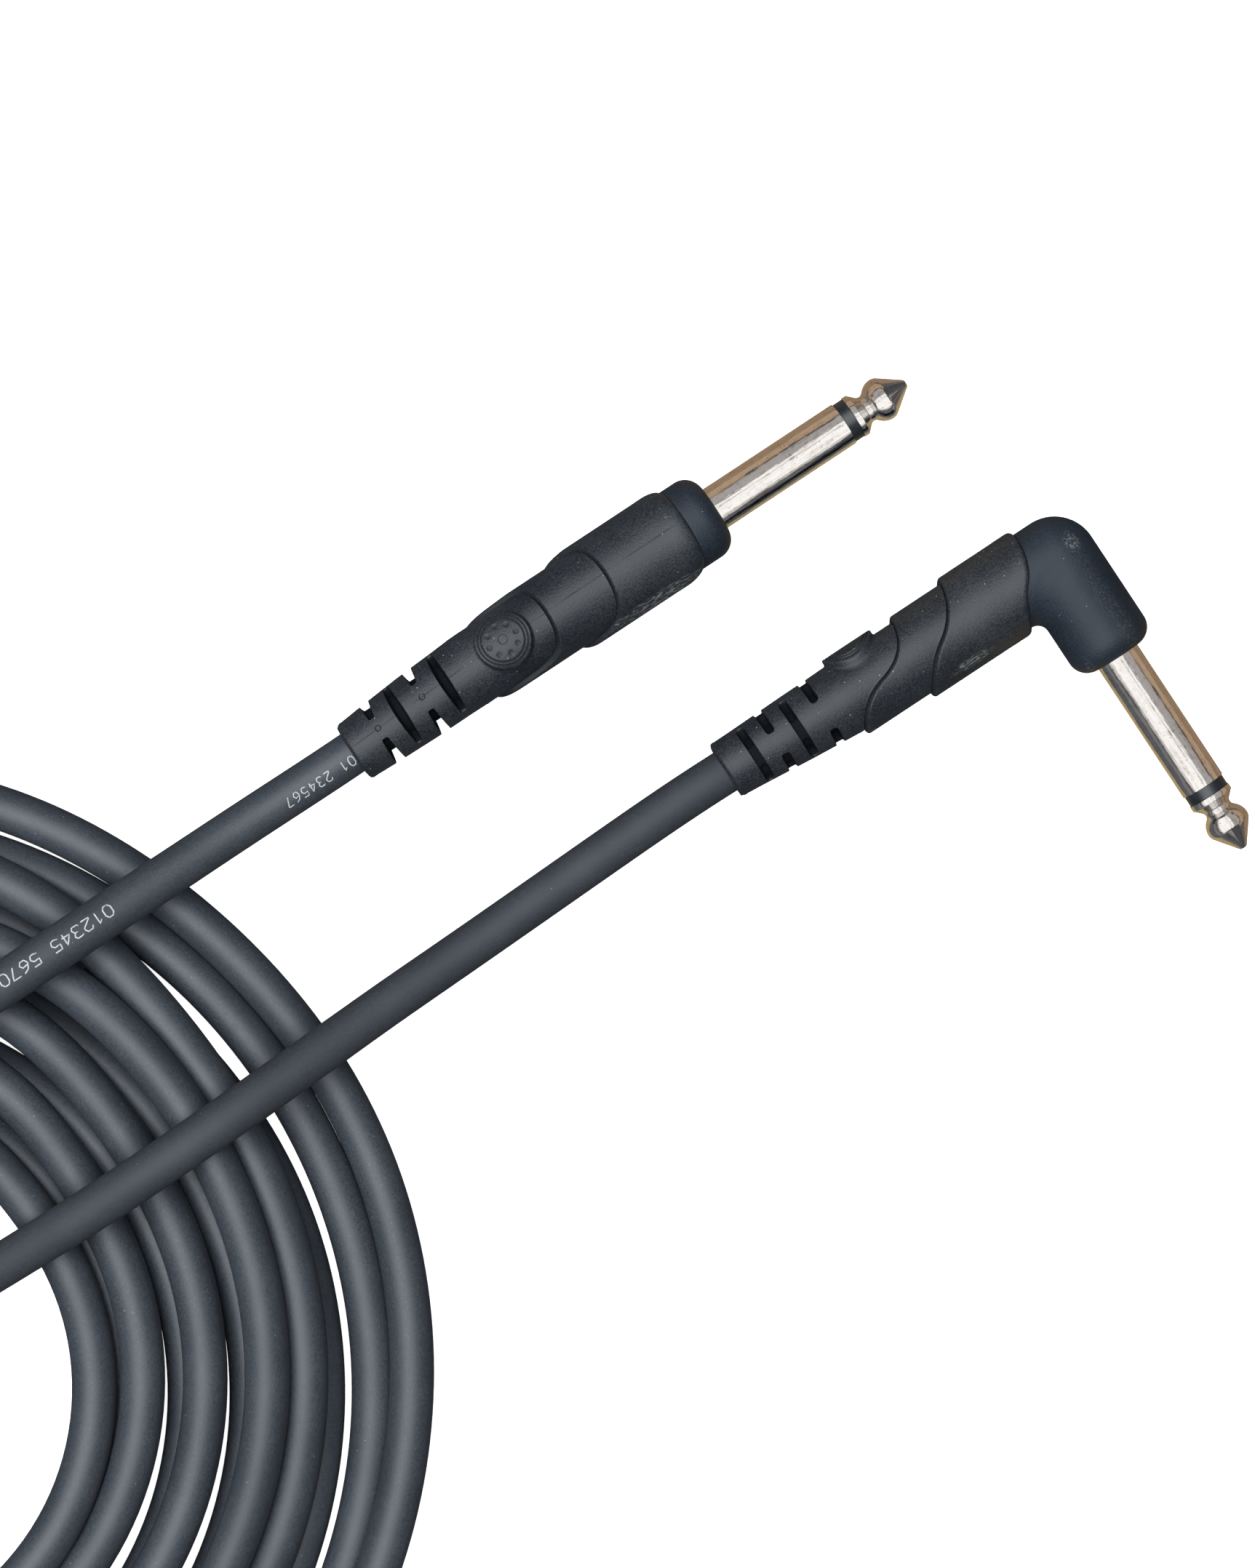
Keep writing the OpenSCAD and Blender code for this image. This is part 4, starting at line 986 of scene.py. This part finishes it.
def printed(name, line, rows, mat):
    """Plain numbers printed along the cord, as thin strokes laid on its skin."""
    part = line[-PRINT_RUN:]
    ahead = np.gradient(part, axis=0)
    ahead /= np.linalg.norm(ahead, axis=1, keepdims=True)
    verts, faces = [], []

    def on_cord(x, off, r):
        at = np.array([np.interp(x, part[:, 0], part[:, i]) for i in range(3)])
        t = np.array([np.interp(x, part[:, 0], ahead[:, i]) for i in range(3)])
        left = np.cross((0, 0, 1), t)
        left /= np.linalg.norm(left)
        turn = off / CORD_R
        return at + r * (math.sin(turn) * left + math.cos(turn) * np.cross(t, left))

    for text, start, off, wide, tall, pitch in rows:
        for k, mark in enumerate(text):
            if mark not in DIGITS:
                continue
            pts = np.array(DIGITS[mark]) * (wide, tall)
            fine = [pts[0]]
            for p, q in zip(pts[:-1], pts[1:]):
                n = max(1, int(np.linalg.norm(q - p) / PEN_STEP))
                fine += [p + (q - p) * (i + 1) / n for i in range(n)]
            fine = np.array(fine)
            run = np.gradient(fine, axis=0)
            run /= np.maximum(np.linalg.norm(run, axis=1, keepdims=True), 1e-6)
            across = np.stack([-run[:, 1], run[:, 0]], 1) * PEN_HALF * tall
            first = len(verts)
            for p, d in zip(fine, across):
                for q, r in ((p + d, INK_TOP), (p + d, INK_FOOT),
                             (p - d, INK_FOOT), (p - d, INK_TOP)):
                    verts.append(on_cord(start - k * pitch - q[0], off - q[1], CORD_R + r))
            faces += grid_faces(len(fine), 4, first=first)
            last = first + 4 * (len(fine) - 1)
            faces += [tuple(range(first, first + 4)), tuple(range(last, last + 4))]
    return build(name, verts, faces, [mat], sharp=0)


line = cord_line()
cord = tube("cord", line, CORD_R, JACKET, lead_painted_shade(line))
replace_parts(cord, "straight_lead", "angled_lead", "cable_coil")
# Each row: numbers, start in X, offset across the cord, width, height, pitch.
numbers = printed("cord_numbers", line,
                  [("01 234567", -51.6, -0.35, 0.85, 1.45, 1.32),
                   ("012345 567012", -90.6, 1.05, 1.15, 1.7, 1.56)], INK)

# ---------- the plugs ----------
MOUTH_LIP = 0.65
# Lengths are measured back from the face, or from the pin's axis on the right-angle plug. The
# taper has (distance from the mouth, radius), each step and seam (place on the boss's side, and
# behind), and each lean (start, slope).
STRAIGHT = dict(
    length=FACE_X - STRAIGHT_MOUTH + MOUTH_LIP, lean=STRAIGHT_LEAN,
    main_r=6.85, mid_r=6.05, zone_r=5.25, mouth_r=4.45, front=2.2, seam=(4.65, 8.2),
    step_a=(27.5, 40.9), step_b=(17.8, 27.3), boss_x=34.5,
    taper=((0.7, 4.42), (4.4, 4.66), (11.0, 4.99), (16.6, 5.12), (20.0, 5.25)),
    slots=(44.4, 48.12, 51.84, 55.56), slot_half=0.75, slot_floor_half=0.45, slot_end=0.3,
    slot_pinch=0.4, ribbed=False, pits=True, core_end=-20.0)
ANGLED = dict(
    length=ELBOW_X - ANGLED_MOUTH + MOUTH_LIP, lean=ANGLED_LEAN,
    main_r=6.8, mid_r=6.0, zone_r=5.22, mouth_r=4.3, front=0.8, seam=(3.0, 8.05),
    step_a=(23.6, 34.9), step_b=(15.1, 24.4), boss_x=30.75,
    taper=((0.7, 4.25), (3.8, 4.40), (7.6, 4.62), (11.8, 4.87), (16.4, 5.08), (19.0, 5.22)),
    slots=(38.7, 42.65, 46.1, 49.55), slot_half=0.66, slot_floor_half=0.42, slot_end=0.6,
    slot_pinch=0.0, ribbed=True, pits=False, core_end=-11.5)
ANGLED_AT = np.array([ELBOW_X, ANGLED_Y, AXIS_Z])
GRIP_LOOKS = [MOULDING, SHADED]

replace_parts(grip("straight_grip_form", STRAIGHT_ROOT, STRAIGHT_ROLL, STRAIGHT, GRIP_LOOKS),
            "straight_grip")
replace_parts(grip("angled_grip_form", ANGLED_AT, ANGLED_ROLL, ANGLED, GRIP_LOOKS), "angled_grip")
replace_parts(collar("straight_collar_form", STRAIGHT_ROOT, STRAIGHT_ROLL, STRAIGHT, INNER),
            "straight_collar")
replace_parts(elbow("angled_elbow_form", ANGLED_AT, ANGLED, INNER), "angled_elbow")
for side, place in (("straight", straight_pin), ("angled", angled_pin)):
    for piece, outline, slot, mat in (("tip", tip_profile(), "nickel", NICKEL),
                                      ("sleeve", SLEEVE, "nickel", NICKEL),
                                      ("tip_insulator", INSULATOR, "insulator", INSULATION)):
        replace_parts(lathe(f"{side}_{piece}_form", outline, place, mat), f"{side}_{piece}")

# ---------- floor and light ----------
def staged(name, verts, faces, mat):
    """A mesh of the scene that is no part of the object."""
    me = bpy.data.meshes.new(name)
    me.from_pydata(verts, [], faces)
    me.materials.append(mat)
    o = bpy.data.objects.new(name, me)
    scene.collection.objects.link(o)
    o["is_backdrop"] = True
    return o


def sheet_of(x0, x1, y0, y1, z):
    return [(x0, y0, z), (x1, y0, z), (x1, y1, z), (x0, y1, z)], [(0, 1, 2, 3)]


def hide_from(o, *rays):
    for ray in rays:
        setattr(o, "visible_" + ray, False)


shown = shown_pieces()
metal = [o for o in shown if o.data.materials and o.data.materials[0] == NICKEL]
others = [o for o in shown if o not in metal]

# White paper for the camera alone, with walls, so that a low view has the same ground.
paper = Paint("paper")
paper.set(Base_Color=(0.9, 0.9, 0.9, 1), Roughness=0.9, Emission_Color=(1, 1, 1, 1),
          Emission_Strength=0.88)
ROOM = 10.0  # half the floor's width, and the walls' height, in metres
corners = [(-ROOM, -ROOM), (ROOM, -ROOM), (ROOM, ROOM), (-ROOM, ROOM)]
floor = staged("floor", [(x, y, z) for z in (0, ROOM) for x, y in corners],
               [(0, 1, 2, 3)] + [(i, (i + 1) % 4, 4 + (i + 1) % 4, 4 + i) for i in range(4)],
               paper.mat)
hide_from(floor, "diffuse", "glossy", "transmission", "shadow")

# What the object mirrors from below: a dark table, with a tan board under each pin.
table = Paint("table")
table.set(Base_Color=(0.085, 0.090, 0.102, 1), Roughness=0.9)
hide_from(staged("table", *sheet_of(-ROOM, ROOM, -ROOM, ROOM, -0.0005), table.mat), "camera")
board = Paint("board")
board.set(Base_Color=(0.30, 0.192, 0.108, 1), Roughness=0.9)
gold = Paint("gold_board")
gold.set(Base_Color=(0.42, 0.305, 0.142, 1), Roughness=0.9)
BOARD_RUN = (-2, 56.75)  # from each pin's root, along it
for side, (x, y, _), level in (("straight", STRAIGHT_ROOT, -0.0003),
                               ("angled", ANGLED_ROOT, -0.0002)):
    for part, near, far, mat in (("near", -13, -3, gold), ("far", -3, 250, board)):
        if side == "straight":
            edges = (x + BOARD_RUN[0], x + BOARD_RUN[1], y + near, y + far)
        else:
            edges = (x + near, x + far, y - BOARD_RUN[1], y - BOARD_RUN[0])
        verts, faces = sheet_of(*(e * MM for e in edges), level)
        hide_from(staged(f"{side}_{part}_board", verts, faces, mat.mat), "camera")
others += [o for o in scene.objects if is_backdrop(o)]


def receivers(name, pieces):
    group = bpy.data.collections.new(name)
    for o in pieces:
        group.objects.link(o)
    return group


def soft_light(name, at, aim, size, radiance, colour, only, up=(0, 1, 0)):
    """A rectangular light of a given brightness, for some of the pieces, in metres."""
    data = bpy.data.lights.new(name, "AREA")
    data.shape = "RECTANGLE"
    data.size, data.size_y = size
    data.energy = radiance * math.pi * size[0] * size[1]
    data.color = colour
    o = bpy.data.objects.new(name, data)
    scene.collection.objects.link(o)
    back = (Vector(at) - Vector(aim)).normalized()
    wide = Vector(up).cross(back).normalized()
    tall = back.cross(wide)
    o.matrix_world = Matrix.Translation(at) @ Matrix((wide, tall, back)).transposed().to_4x4()
    o.visible_camera = False
    o.light_linking.receiver_collection = only


def pin_card(name, middle, along, across, turns, reach, radiance, colour, only, far):
    """A card round a pin. Its turns are measured from straight up towards the side called
    across, and its reach from straight up towards the tip, all in degrees."""
    a0, a1 = (math.radians(a) for a in turns)
    r0, r1 = (math.tan(math.radians(r)) for r in reach)
    mid, half = (a0 + a1) / 2, (a1 - a0) / 2
    out = Vector(across) * math.sin(mid) + Vector((0, 0, math.cos(mid)))
    at = Vector(middle) + out * far + Vector(along) * far * (r0 + r1) / 2
    size = (2 * far * math.tan(half), far * (r1 - r0))
    soft_light(name, at, at - out, size, radiance, colour, only, up=along)


soft_light("overhead", (-0.16, 0.13, 1.0), (0, 0, 0), (1.2, 1.2), 4.2, (0.93, 0.97, 1.0),
           receivers("others", others))
soft_light("over_coil", (-0.17, 0.03, 0.34), (-0.17, 0, 0), (0.24, 0.24), 4.0, (0.94, 0.97, 1.0),
           receivers("turns", [cord]))
# What each pin mirrors: card, turns, reach, radiance, colour and distance in metres.
CARDS = [("dim", (-98, -79), (-70, 62), 0.15, (1.0, 0.95, 0.94), 0.045),
         ("haze", (-76, -70), (-70, 62), 0.14, (1.0, 0.93, 0.92), 0.6),
         ("fade", (-70, -60), (-66, 56), 0.72, (1.0, 0.98, 0.96), 0.6),
         ("bright", (-60, -8.5), (-62, 50), 1.25, (1.0, 0.99, 0.97), 0.6),
         ("strip", (-6.5, 8), (-62, 50), 1.25, (1.0, 0.99, 0.97), 0.6),
         ("grey", (10, 46), (-65, 48), 0.42, (1.0, 0.95, 0.91), 0.6),
         ("tan", (54, 92), (-65, 60), 0.47, (1.0, 0.655, 0.35), 0.6),
         ("low", (-60, -22), (62, 79), 0.30, (1.0, 0.98, 0.97), 0.6)]
PIN_MIDDLE = 16  # from the root to the middle of what shows
for name, root, along, across in (("straight", STRAIGHT_ROOT, (1, 0, 0), (0, 1, 0)),
                                  ("angled", ANGLED_ROOT, (0, -1, 0), (1, 0, 0))):
    pieces = receivers(name + "_metal", [o for o in metal if o.name.startswith(name)])
    at = root + PIN_MIDDLE * np.array(along)
    # The camera's own slant turns what the pin mirrors.
    slant = math.degrees(math.atan((at - CAMERA) @ np.array(across) / (CAMERA[2] - at[2])))
    for card, turns, reach, radiance, colour, far in CARDS:
        pin_card(f"{name}_{card}", at * MM, along, across, [a + slant for a in turns], reach,
                 radiance, colour, pieces, far)

world = bpy.data.worlds.new("world")
scene.world = world
world.use_nodes = True
world.node_tree.nodes["Background"].inputs[0].default_value = (0.090, 0.091, 0.098, 1)
scene.view_settings.view_transform = "Standard"
